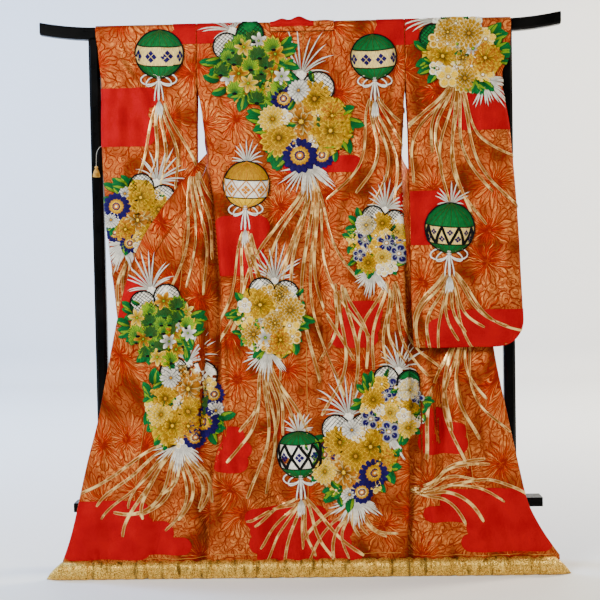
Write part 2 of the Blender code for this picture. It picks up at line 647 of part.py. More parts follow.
def build_hem_roll(roll):
    """One padded length of the hem, gathered, with its free end drawn out to a slanting tip."""
    pitch = (roll.last - roll.first) / (roll.gathers - 1)
    places = {roll.start: 1.0, roll.end: 1.0}
    for number in range(roll.gathers):
        middle = roll.first + pitch * number
        uneven = 1.0 - 0.35 * ((number * 3) % 4) / 3.0
        places[middle - 0.010] = 1.0
        places[middle] = 1.0 - roll.depth * uneven
        places[middle + 0.010] = 1.0
    if roll.tip:
        way = SIDE[roll.tip]
        free_end = way * FUKI_TIP[roll.tip]
        for inset, size in ((0.0, 0.16), (0.014, 0.50), (0.030, 0.80), (0.052, 0.98), (0.100, 1.0)):
            places[free_end - way * inset] = size
    work = bmesh.new()
    rings = []
    for x in sorted(places):
        size = places[x]
        section = hem_section(x, FUKI_HEIGHT * size, FUKI_DEPTH * mix(size, 1.0, 0.3))
        rings.append([work.verts.new(point) for point in section])
    for ring, following in zip(rings, rings[1:]):
        for number in range(FUKI_SIDES):
            other = (number + 1) % FUKI_SIDES
            work.faces.new((ring[number], following[number], following[other], ring[other]))
    work.faces.new(rings[0])
    work.faces.new(reversed(rings[-1]))
    bmesh.ops.recalc_face_normals(work, faces=work.faces)
    mesh = bpy.data.meshes.new(roll.name)
    work.to_mesh(mesh)
    work.free()
    place_in_scene(roll.name, mesh, GOLD_BROCADE)


# ---------------------------------------------------------------- the stand


def chamfered_section(half_width, half_height, chamfer):
    """Eight corners of a rectangle with its corners cut off."""
    points = []
    for sign_a, sign_b in ((1, 1), (-1, 1), (-1, -1), (1, -1)):
        first = (sign_a * half_width, sign_b * (half_height - chamfer))
        second = (sign_a * (half_width - chamfer), sign_b * half_height)
        points.extend((first, second) if sign_a * sign_b > 0 else (second, first))
    return points


def bar_rise(x):
    """How far the bar's end curves up at a place."""
    along = (abs(x) - (0.5 * BAR_LENGTH - BAR_TIP_LENGTH)) / BAR_TIP_LENGTH
    return BAR_TIP_RISE * max(along, 0.0) ** 2


def build_prism(name, rings, recipe):
    """A closed solid through rings of points, each ring with the same number of corners."""
    work = bmesh.new()
    loops = [[work.verts.new(point) for point in ring] for ring in rings]
    count = len(rings[0])
    for loop, following in zip(loops, loops[1:]):
        for number in range(count):
            other = (number + 1) % count
            work.faces.new((loop[number], following[number], following[other], loop[other]))
    work.faces.new(loops[0])
    work.faces.new(reversed(loops[-1]))
    bmesh.ops.recalc_face_normals(work, faces=work.faces)
    mesh = bpy.data.meshes.new(name)
    work.to_mesh(mesh)
    work.free()
    return place_in_scene(name, mesh, recipe)


def build_bar():
    """The bar, with both ends curving up."""
    half = 0.5 * BAR_LENGTH
    stations = [half - BAR_TIP_LENGTH * number / 5.0 for number in range(6)]
    stations = [-x for x in stations] + stations[::-1]
    section = chamfered_section(0.5 * BAR_DEPTH, 0.5 * BAR_HEIGHT, BAR_CHAMFER)
    rings = []
    for x in stations:
        middle = BAR_TOP - 0.5 * BAR_HEIGHT + bar_rise(x)
        rings.append([(x, y, middle + z) for y, z in section])
    build_prism("stand_bar", rings, LACQUER)


def build_post(side):
    """A post from its foot to the bar."""
    x_middle = SIDE[side] * 0.5 * POST_SPACING
    section = chamfered_section(0.5 * POST_SIDE, 0.5 * POST_SIDE, POST_CHAMFER)
    top = BAR_TOP - BAR_HEIGHT - SEAM
    rings = [[(x_middle + x, y, z) for x, y in section] for z in (FOOT_HEIGHT + SEAM, top)]
    build_prism("stand_post_" + side, rings, LACQUER)


def build_rail():
    """The lower rail, with a mortise for each post."""
    half = 0.5 * RAIL_LENGTH
    section = chamfered_section(0.5 * RAIL_DEPTH, 0.5 * RAIL_HEIGHT, 0.002)
    middle = RAIL_BOTTOM + 0.5 * RAIL_HEIGHT
    rings = [[(x, y, middle + z) for y, z in section] for x in (-half, half)]
    rail = build_prism("stand_rail", rings, LACQUER)
    hole = 0.5 * POST_SIDE + SEAM
    for side in SIDE:
        x_middle = SIDE[side] * 0.5 * POST_SPACING
        corners = chamfered_section(hole, hole, POST_CHAMFER)
        cutter_rings = []
        for z in (RAIL_BOTTOM - 0.01, RAIL_BOTTOM + RAIL_HEIGHT + 0.01):
            cutter_rings.append([(x_middle + x, y, z) for x, y in corners])
        cutter = build_prism("mortise_" + side, cutter_rings, LACQUER)
        cutter.hide_render = True
        cutter.display_type = "WIRE"
        cut = rail.modifiers.new("mortise_" + side, "BOOLEAN")
        cut.operation = "DIFFERENCE"
        cut.object = cutter


def build_foot(side):
    """A foot block, its upper edges cut off, with a flat underside."""
    x_middle = SIDE[side] * 0.5 * POST_SPACING
    half_x, half_y = 0.5 * FOOT_WIDTH, 0.5 * FOOT_LENGTH
    rings = []
    for inset, z in ((0.0, 0.0), (0.0, FOOT_HEIGHT - FOOT_CHAMFER), (FOOT_CHAMFER, FOOT_HEIGHT)):
        wide, long = half_x - 0.5 * inset, half_y - inset
        rings.append([
            (x_middle - wide, -long, z),
            (x_middle + wide, -long, z),
            (x_middle + wide, long, z),
            (x_middle - wide, long, z),
        ])
    build_prism("stand_foot_" + side, rings, LACQUER)


# ---------------------------------------------------------------- assembly


def main():
    """Clear the scene and build the stand and the garment."""
    for item in list(bpy.data.objects):
        bpy.data.objects.remove(item, do_unlink=True)
    frame = bpy.data.objects.new("kimono_frame", None)
    frame.location = (0.0, STAND_Y, 0.0)
    bpy.context.scene.collection.objects.link(frame)
    build_bar()
    build_rail()
    for side in SIDE:
        build_post(side)
        build_foot(side)
        build_back(side)
        build_front(side)
        build_sleeve(side)
    build_collar_back()
    for roll in HEM_ROLLS:
        build_hem_roll(roll)


main()
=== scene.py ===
"""Scene of a wedding kimono (uchikake) spread over a lacquered kimono stand.

Every cloth panel is a thin shell on the form of its CAD solid, with creases of its own.  The
decoration is drawn as small patches in the plane of the hanging cloth and then laid on the
panels.  Lengths are in metres and angles in degrees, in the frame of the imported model.
"""

import logging
import random
from dataclasses import dataclass, field
from enum import Enum
from math import cos, exp, floor, pi, radians, sin, sqrt
from typing import Any, Iterable, NamedTuple, Sequence

import bpy
import numpy as np
from mathutils import Matrix, Vector
from mathutils.bvhtree import BVHTree


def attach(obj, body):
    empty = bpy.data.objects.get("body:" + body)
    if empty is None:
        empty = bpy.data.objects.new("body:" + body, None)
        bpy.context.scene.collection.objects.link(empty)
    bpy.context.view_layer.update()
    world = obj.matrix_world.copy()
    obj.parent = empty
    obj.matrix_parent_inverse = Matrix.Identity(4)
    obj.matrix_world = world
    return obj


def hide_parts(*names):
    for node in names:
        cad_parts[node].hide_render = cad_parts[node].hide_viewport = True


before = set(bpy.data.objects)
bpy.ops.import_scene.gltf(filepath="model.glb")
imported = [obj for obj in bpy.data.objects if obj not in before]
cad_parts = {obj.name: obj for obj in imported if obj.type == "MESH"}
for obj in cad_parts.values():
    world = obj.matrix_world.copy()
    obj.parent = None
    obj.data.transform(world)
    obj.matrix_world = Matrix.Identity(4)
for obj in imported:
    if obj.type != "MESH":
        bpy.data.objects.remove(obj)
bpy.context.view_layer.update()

LOG = logging.getLogger("kimono")

Colour = tuple[float, float, float]


# ---- sizes of the garment

STAND_Y = 0.03125           # the bar's centre line
WALL = 0.0022               # thickness of the lined silk
SEAM = 0.0003
RIDGE_HALF = 0.0245         # half the distance between the cloth's two sides over the bar
RIDGE_TOP = 1.7785
RIDGE_CORNER = 0.013
HANG_TOP = 1.75
HEM_FORWARD = 0.153
HEM_HEIGHT = 0.058
HEM_SINK = 0.043            # where the visible panels end, inside the padded hem
EDGE_ROLL = 0.012
ROLL_START, ROLL_FULL = 1.56, 1.25
FLAT_SHARE = 0.86
NECK_SHARE = 0.3
TUCK_START, TUCK_END = 0.014, 0.062
OVERLAP_FIRST = 7
PLEATS = 2
SLEEVE_BOTTOM = 0.716
SLEEVE_CORNER = 0.085
SLEEVE_ROUNDING = 0.03
CUFF_LOW, CUFF_HIGH = 1.55, 1.665
FUKI_HEIGHT = 0.0565
FUKI_DEPTH = 0.054


class Side(Enum):
    """A side of the garment, with the sign of its X."""

    LEFT = -1
    RIGHT = 1

    @property
    def word(self) -> str:
        """The side's name in the names of pieces."""
        return self.name.lower()


class BackRow(NamedTuple):
    """The back's two side folds and its centre seam at a height."""

    height: float
    left: float
    centre: float
    right: float


class FrontRow(NamedTuple):
    """One section of a front, from its side seam to its free edge."""

    side_height: float
    side_out: float
    side_behind: float
    edge_x: float
    edge_height: float
    edge_behind: float
    belly: float
    pleat: float
    seam: float
    band: float


class SleeveRow(NamedTuple):
    """A sleeve's edges and depths at a height."""

    height: float
    inner: float
    outer: float
    front_outer: float
    face: float
    rear_inner: float
    rear_outer: float


class Fold(NamedTuple):
    """A long soft fold: its place across at top and hem, half width and three depths."""

    top: float
    low: float
    width: float
    depth_top: float
    depth_middle: float
    depth_low: float


class Crease(NamedTuple):
    """A short crease between two points of the frontal plane; negative depth is a trough."""

    x0: float
    z0: float
    x1: float
    z1: float
    width: float
    depth: float


def entry(word: str) -> Any:
    """A number, or the option of this name; zones are joined by a plus."""
    if not word[0].isalpha():
        return float(word)
    found = tuple(OPTIONS[name] for name in word.split("+"))
    return found if isinstance(found[0], Zone) else found[0]


def table(kind: Any, text: str) -> list[Any]:
    """Rows of a kind; a comma ends a row."""
    return [kind(*map(entry, row.split())) for row in text.split(",")]


BACK = table(BackRow, """
1.75 .3345 .013 .3425, 1.6 .3345 .012 .3425, 1.48 .32 .012 .334, 1.35 .304 .012 .326, 1.2 .286 .011 .325,
1.05 .273 .01 .326, .88 .264 .009 .329, .72 .268 .008 .332, .52 .268 .007 .331, .31 .298 .006 .33,
.15 .313 .005 .323, .058 .32 .005 .322
""")

FRONT = {
    Side.LEFT: table(FrontRow, """
1.752 -.001 .049 .0905 1.752 .049 0 0 .6 .774, 1.655 -.001 .058 .122 1.655 .062 .006 .003 .57 .74,
1.555 0 .064 .168 1.565 .074 .014 .004 .53 .7, 1.455 .006 .062 .221 1.485 .08 .024 .003 .5 .68,
1.37 .012 .052 .262 1.425 .09 .014 0 .48 .68, 1.305 .012 .042 .3 1.375 .076 .004 0 .46 .69,
1.235 0 .0028 .333 1.325 .01 0 0 .46 .66, 1.165 0 .0028 .386 1.262 -.005 0 0 .52 .6,
1.09 0 .0028 .456 1.172 -.006 0 0 .55 .68, 1.005 0 .0028 .526 1.062 -.004 0 0 .48 .77,
.9 0 .0028 .575 .925 -.002 0 0 .45 .825, .79 0 .0028 .606 .795 0 0 0 .51 .845,
.65 0 .0028 .635 .65 .002 0 0 .59 .86, .5 0 .0028 .665 .5 .004 0 0 .626 .87,
.36 0 .0028 .702 .36 .004 0 0 .608 .88, .22 0 .0028 .733 .22 .003 0 0 .587 .88,
.12 0 .0028 .758 .12 .001 0 0 .57 .88, .058 0 .0028 .78 .058 0 0 0 .557 .88
"""),
    Side.RIGHT: table(FrontRow, """
1.752 -.001 .049 .1125 1.752 .049 0 0 .6 .765, 1.66 -.001 .058 .15 1.66 .07 .006 .003 .57 .73,
1.56 0 .064 .2 1.56 .094 .012 .004 .52 .69, 1.46 .006 .064 .262 1.45 .122 .012 .005 .48 .66,
1.37 .006 .052 .326 1.345 .145 .004 .002 .46 .64, 1.29 .006 .03 .396 1.235 .148 0 0 .44 .63,
1.2 0 .0028 .464 1.12 .128 .006 0 .44 .6, 1.1 0 .0028 .52 1.01 .102 .008 0 .52 .57,
1 0 .0028 .562 .9 .076 .006 0 .5 .69, .89 0 .0028 .594 .8 .056 .004 0 .5 .79,
.78 0 .0028 .608 .73 .044 .002 0 .52 .81, .66 0 .0028 .62 .645 .03 0 0 .55 .82,
.55 0 .0028 .637 .545 .018 0 0 .565 .83, .44 0 .0028 .656 .44 .008 0 0 .575 .84,
.33 0 .0028 .678 .33 .003 0 0 .575 .85, .22 0 .0028 .703 .22 .002 0 0 .565 .86,
.13 0 .0028 .748 .13 0 0 0 .55 .87, .058 0 .0028 .797 .058 0 0 0 .54 .88
"""),
}
COLLAR_LAST = {Side.LEFT: 11, Side.RIGHT: 9}
BACK_FOLDS = table(Fold, """
-.86 -.8 .022 0 .01 .006, -.62 -.5 .04 -.003 -.006 -.009, -.3 -.34 .03 .002 .006 .01,
-.1 -.12 .03 0 -.005 -.007, .16 .17 .024 .002 .012 .005, .42 .5 .045 -.002 -.009 -.008,
.72 .74 .026 .002 .01 .008
""")
FRONT_FOLDS = {
    Side.LEFT: table(Fold, """
.3 .22 .022 0 -.011 -.006, .42 .36 .024 0 .009 .008, .6 .52 .03 0 -.007 -.008, .78 .72 .03 0 .004 .008,
.9 .9 .03 0 -.003 -.006
"""),
    Side.RIGHT: table(Fold, """
.26 .2 .022 0 -.01 -.009, .4 .34 .022 0 .01 .008, .56 .52 .028 0 -.008 -.009, .76 .74 .03 0 .006 .008,
.9 .9 .03 0 -.003 -.005
"""),
}

SLEEVE = {
    Side.LEFT: table(SleeveRow, """
1.752 .3345 .665 .665 0 .0245 .0245, 1.7 .3345 .658 .648 .001 .0255 .024,
1.65 .3345 .654 .646 .002 .0258 .012, 1.6 .335 .648 .646 .002 .0258 -.008,
1.54 .3365 .648 .648 .004 .018 -.016, 1.44 .338 .65 .65 .008 .002 -.021,
1.34 .3385 .649 .649 .013 -.01 -.026, 1.208 .3385 .642 .642 .02 -.022 -.032,
1.078 .338 .633 .633 .027 -.033 -.038, .95 .3375 .621 .621 .034 -.04 -.043,
.85 .338 .611 .611 .038 -.046 -.048, .78 .339 .604 .604 .041 -.05 -.052, .72 .34 .6 .6 .044 -.053 -.055
"""),
    Side.RIGHT: table(SleeveRow, """
1.752 .3425 .687 .687 0 .0245 .0245, 1.7 .3425 .684 .648 .001 .0255 .024,
1.65 .3425 .68 .646 .001 .0258 .012, 1.6 .343 .655 .646 0 .0258 -.01,
1.54 .344 .656 .656 -.001 .016 -.024, 1.44 .347 .672 .672 -.002 -.004 -.032,
1.34 .3475 .681 .681 -.003 -.022 -.04, 1.208 .347 .689 .689 -.004 -.042 -.051,
1.078 .346 .695 .695 -.005 -.058 -.062, .95 .3465 .698 .698 -.006 -.073 -.074,
.85 .3475 .701 .701 -.006 -.083 -.084, .78 .349 .702 .702 -.006 -.09 -.091,
.72 .351 .702 .702 -.006 -.096 -.097
"""),
}
SLEEVE_FOLDS = table(Fold, """
.1 .08 .03 0 .004 .003, .34 .3 .05 -.001 -.004 -.004, .62 .6 .045 .001 .004 .003,
.84 .86 .04 0 -.003 -.002
""")

STAND_NODES = (
    "stand_bar", "stand_rail", "stand_post_left", "stand_post_right", "stand_foot_left", "stand_foot_right"
)
COLLAR_WALL = 0.0032
FLAT_FOOT = 0.1            # share of the hem roll's height that is pressed flat below
TIP_LENGTH = 0.052
FRONT_AREA = {Side.LEFT: 0.33, Side.RIGHT: 0.31}
OKUMI_AREA = {Side.LEFT: 0.165, Side.RIGHT: 0.135}
COLLAR_AREA = {Side.LEFT: 0.056, Side.RIGHT: 0.048}
SLEEVE_AREA = {
    (Side.LEFT, "back"): 0.343, (Side.LEFT, "front"): 0.314, (Side.RIGHT, "back"): 0.365,
    (Side.RIGHT, "front"): 0.356
}


class PathPoint(NamedTuple):
    """A point of the collar's path over the bar."""

    y: float
    z: float


class Bulge(NamedTuple):
    """A bump of the collar where it crosses the bar: place, half width and height."""

    place: float
    width: float
    height: float


COLLAR_PATH = table(PathPoint, """
-.0248 1.7462, -.0255 1.758, -.0238 1.7612, -.0278 1.765, -.0262 1.773, -.015 1.779, .003 1.78,
.018 1.776, .0275 1.766, .031 1.75, .0325 1.718
""")
COLLAR_BULGES = table(Bulge, """
-.056 .02 .01, 0 .026 .016, .08 .026 .003
""")
CLOUD_BAR = 0.05           # height of one bar of a cloud
PETAL_DOME = 0.0011
CLEAR = 0.0007              # what keeps the flat work clear of the cloth between their points
STRETCH = 0.012             # a stretched cell of a patch, deeper than this, is left out

# ---- creases of the visible cloth

BODY_CREASES = table(Crease, """
-.245 .86 -.238 .47 .011 -.006, -.215 .78 -.205 .4 .016 .004, .058 1.06 .066 .52 .012 -.0055,
.095 1 .1 .5 .022 .004, .275 .88 .268 .58 .012 -.006, .235 .8 .23 .46 .018 .0035,
-.3 .4 -.06 .1 .03 .0095, -.25 .46 -.02 .16 .022 -.0075, .02 .33 .11 .09 .02 -.005,
.205 .42 .29 .1 .026 -.0065, .15 .36 .23 .08 .024 .005, -.12 1.3 -.06 .98 .026 -.004,
-.06 1.24 .02 .92 .03 .0038, .17 1.34 .13 1 .024 -.0034, -.27 1.34 -.205 1.16 .016 .0036,
-.1 1.7 -.13 1.42 .02 -.0024, .2 1.72 .215 1.46 .022 .0022, -.275 .62 -.262 .1 .016 -.0075,
-.195 .3 -.15 .09 .022 .006, -.07 .56 -.09 .28 .03 -.004, .3 1.6 .292 .92 .014 -.005
""")
FRONT_CREASES = {
    Side.LEFT: table(Crease, """
-.3 .96 -.335 .3 .014 -.008, -.33 .9 -.375 .24 .018 .005, -.395 .98 -.47 .4 .016 -.0036,
-.37 .3 -.3 .1 .016 -.005, -.42 .26 -.345 .08 .018 .0048, -.45 1.1 -.56 .66 .022 .003,
-.6 .52 -.665 .2 .028 -.004
"""),
    Side.RIGHT: table(Crease, """
.372 .72 .35 .2 .012 -.008, .4 .72 .398 .22 .015 .006, .432 .72 .44 .34 .012 -.0065,
.47 .7 .5 .32 .018 .0048, .54 .7 .59 .3 .016 -.004, .365 .24 .42 .08 .016 -.0055,
.47 .2 .56 .09 .02 .0045
"""),
}
SLEEVE_CREASES = {
    Side.LEFT: table(Crease, """
-.64 1.74 -.48 1.5 .014 .0052, -.6 1.745 -.43 1.56 .011 -.0048, -.5 1.74 -.38 1.6 .014 .0042,
-.38 1.56 -.395 1.22 .016 -.0034, -.6 1.42 -.56 1.06 .026 .0026, -.45 1.38 -.48 1.04 .024 -.0024,
-.5 1 -.52 .76 .022 .0022
"""),
    Side.RIGHT: table(Crease, """
.6 1.735 .48 1.56 .018 -.0028, .38 1.7 .4 1.38 .018 -.0026, .64 1.52 .6 1.24 .024 .0024,
.52 1.36 .56 .98 .028 -.0024, .4 1.12 .42 .78 .022 .0026, .61 1.04 .64 .8 .026 -.0022
"""),
}
HEM_GATHER = 0.036          # from one pucker to the next where the cloth meets the padded hem
HEM_PUCKER = 0.0022         # depth of these puckers


# ---- small helpers

def smooth(value: Any) -> Any:
    """An S-shaped step from 0 to 1, for a number or an array."""
    held = np.clip(value, 0, 1)
    return held * held * (3 - 2 * held)


def mix(first: float, second: float, share: float) -> float:
    """The value a share of the way from first to second."""
    return first + (second - first) * share


def between_rows(rows: Sequence[Any], place: float) -> Any:
    """The row at a place between two rows of a table, on a smooth curve through them."""
    low = min(max(int(floor(place)), 0), len(rows) - 2)
    share = place - low
    before, start = rows[max(low - 1, 0)], rows[low]
    end, after = rows[low + 1], rows[min(low + 2, len(rows) - 1)]
    values = []
    for a, b, c, d in zip(before, start, end, after):
        slope_b = 0 if (b - a) * (c - b) <= 0 else 0.5 * (c - a)
        slope_c = 0 if (c - b) * (d - c) <= 0 else 0.5 * (d - b)
        square, cube = share * share, share * share * share
        near, far = 2 * cube - 3 * square + 1, 3 * square - 2 * cube
        leaving, coming = cube - 2 * square + share, cube - square
        values.append(b * near + slope_b * leaving + c * far + slope_c * coming)
    return rows[0]._make(values)


def row_at_height(rows: Sequence[Any], height: float) -> Any:
    """The row of a downward table at a height."""
    height = min(max(height, rows[-1].height), rows[0].height)
    for index in range(len(rows) - 1):
        upper, lower = rows[index].height, rows[index + 1].height
        if height >= lower:
            return between_rows(rows, index + (upper - height) / (upper - lower))
    return rows[-1]


def spaced(start: float, end: float, count: int) -> list[float]:
    """Evenly spaced values from start to end, both included."""
    return [mix(start, end, number / (count - 1)) for number in range(count)]


# ---- the hanging garment, before its thickness and its small creases

def hanging_y(height: float) -> float:
    """The plane in which the back hangs, from the bar forward to the hem."""
    return -RIDGE_HALF - HEM_FORWARD * (1 - min(height, HANG_TOP) / HANG_TOP)


def fold_depth(folds: Iterable[Fold], across: float, down: float, width: float) -> float:
    """The folds' depth at a share across a piece and a share down it."""
    depth = 0
    for fold in folds:
        place = mix(fold.top, fold.low, down)
        if down < 0.5:
            strength = mix(fold.depth_top, fold.depth_middle, smooth(down * 2))
        else:
            strength = mix(fold.depth_middle, fold.depth_low, smooth(down * 2 - 1))
        depth += strength * exp(-(((across - place) * width / fold.width) ** 2))
    return depth


def ridge_path(steps: int) -> list[tuple[float, float]]:
    """The cloth's path over the bar, from its rear side to its front, as (y, z)."""
    points = [(RIDGE_HALF, 1.7535)]
    for way in (1, -1):
        turns = spaced(0, 90, steps) if way > 0 else spaced(90, 0, steps)
        for turn in turns:
            angle = radians(turn)
            y, z = RIDGE_HALF - RIDGE_CORNER, RIDGE_TOP - RIDGE_CORNER
            points.append((way * (y + RIDGE_CORNER * cos(angle)), z + RIDGE_CORNER * sin(angle)))
    return points


def back_point(side: Side, across: float, height: float) -> Vector:
    """A point of the back, from the centre seam (0) round the side fold (1)."""
    row = row_at_height(BACK, height)
    edge = side.value * (row.left if side is Side.LEFT else row.right)
    down = (HANG_TOP - height) / HANG_TOP
    turn = pi * smooth((ROLL_START - height) / (ROLL_START - ROLL_FULL))
    turn = max(turn, 0.02)
    radius = pi * EDGE_ROLL / turn
    flat_edge = edge - side.value * radius * sin(min(turn, 0.5 * pi))
    if across <= FLAT_SHARE:
        share = across / FLAT_SHARE
        fade = smooth((1 - share) * 8) * smooth(down * 12)
        depth = fold_depth(BACK_FOLDS, side.value * share, down, abs(edge - row.centre))
        y = hanging_y(height) + fade * depth
        return Vector((mix(row.centre, flat_edge, share), y, height))
    turn *= (across - FLAT_SHARE) / (1 - FLAT_SHARE)
    x = flat_edge + side.value * radius * sin(turn)
    return Vector((x, hanging_y(height) + radius * (1 - cos(turn)), height))


def front_point(side: Side, step: float, across: float) -> Vector:
    """A point of a front: step runs down its rows, across from its side seam out."""
    row = between_rows(FRONT[side], step)
    side_edge = back_point(side, 1, row.side_height)
    start = Vector(
        (side_edge.x + side.value * row.side_out, side_edge.y + row.side_behind, row.side_height)
    )
    end = Vector((side.value * row.edge_x, hanging_y(row.edge_height) + row.edge_behind, row.edge_height))
    length = (end - start).length
    point = start.lerp(end, across)
    straight = smooth((row.side_height - ROLL_FULL) / 0.12)
    tucked = smooth((across * length - TUCK_START) / (TUCK_END - TUCK_START))
    hung = end.y + hanging_y(point.z) - hanging_y(end.z)
    point.y = mix(mix(start.y, hung, tucked), point.y, straight)
    point.y += row.belly * sin(pi * across)
    point.y += row.pleat * sin(2 * pi * PLEATS * across) * (1 - across * 0.4)
    down = (HANG_TOP - row.side_height) / HANG_TOP
    fade = smooth((across * length - 0.03) / 0.04) * smooth((1.3 - row.side_height) / 0.2)
    fade *= smooth((1 - across) * length / 0.05)
    point.y += fade * fold_depth(FRONT_FOLDS[side], across, down, length)
    return point


def sleeve_point(side: Side, layer: str, across: float, height: float) -> Vector:
    """A point of a sleeve's back or front side, from the body (0) outward (1)."""
    row = row_at_height(SLEEVE[side], height)
    outer = row.outer if layer == "back" else row.front_outer
    rise = height - SLEEVE_BOTTOM
    if rise < SLEEVE_CORNER:
        drop = SLEEVE_CORNER - rise
        outer -= SLEEVE_CORNER - sqrt(max(SLEEVE_CORNER ** 2 - drop ** 2, 0))
    x = mix(row.inner, outer, across)
    down = (HANG_TOP - height) / (HANG_TOP - SLEEVE_BOTTOM)
    waves = fold_depth(SLEEVE_FOLDS, across, down, outer - row.inner)
    waves *= smooth(across * 10) * smooth(down * 4)
    face = hanging_y(height) + row.face
    rear = mix(row.rear_inner, row.rear_outer, smooth(across))
    to_outer = min((outer - x) / SLEEVE_ROUNDING, 1)
    to_bottom = min(rise / SLEEVE_ROUNDING, 1)
    closed = sqrt(max(1 - (1 - to_outer) ** 2, 0))
    closed = mix(closed, 1, smooth((height - CUFF_LOW) / (CUFF_HIGH - CUFF_LOW)))
    closed *= sqrt(max(1 - (1 - to_bottom) ** 2, 0))
    half = max((rear - face) * 0.5 * closed, (WALL + SEAM) * 0.55)
    y = mix(face, rear, 0.5) - half if layer == "back" else mix(face, rear, 0.5) + half
    return Vector((side.value * x, y + waves, height))


# ---- finishes

TURN = 6.2832               # once round, in radians
FLAT_CELLS = {"voronoi_dimensions": "2D"}
ON_A_LINE = {"noise_dimensions": "1D"}


def sum_node(operation: str, swapped: bool = False) -> Any:
    """An operator that adds the node for a sum of two numbers."""

    def operate(self: "Signal", other: Any) -> "Signal":
        """The sum."""
        return self.pen.calc(operation, *((other, self) if swapped else (self, other)))

    return operate


class Signal:
    """An output of a node; Python's own operators add the nodes that work on it."""

    def __init__(self, pen: Any, socket: Any) -> None:
        self.pen = pen
        self.socket = socket

    def __getitem__(self, output: str | int) -> "Signal":
        """Another output of the same node."""
        return Signal(self.pen, self.socket.node.outputs[output])

    def __abs__(self) -> "Signal":
        """The number without its sign."""
        return self.pen.calc("ABSOLUTE", self)

    __add__ = sum_node("ADD")
    __sub__ = sum_node("SUBTRACT")
    __rsub__ = sum_node("SUBTRACT", True)
    __mul__ = sum_node("MULTIPLY")
    __truediv__ = sum_node("DIVIDE")


class NodeWriter:
    """Writes a node tree as nested calls."""

    def __init__(self, tree: Any) -> None:
        self.tree = tree

    def put(self, value: Any, socket: Any) -> None:
        """Link a signal or a socket, or set a plain value."""
        value = value.socket if isinstance(value, Signal) else value
        if isinstance(value, bpy.types.NodeSocket):
            self.tree.links.new(value, socket)
        else:
            socket.default_value = value

    def add(self, kind: str, settings: dict[str, Any] | None = None, **values: Any) -> Signal:
        """The first output of a new node, its settings made and its inputs linked."""
        made = self.tree.nodes.new(kind)
        for key, value in (settings or {}).items():
            setattr(made, key, value)
        for key, value in values.items():
            self.put(value, made.inputs[key.replace("_", " ")])
        return Signal(self, made.outputs[0])


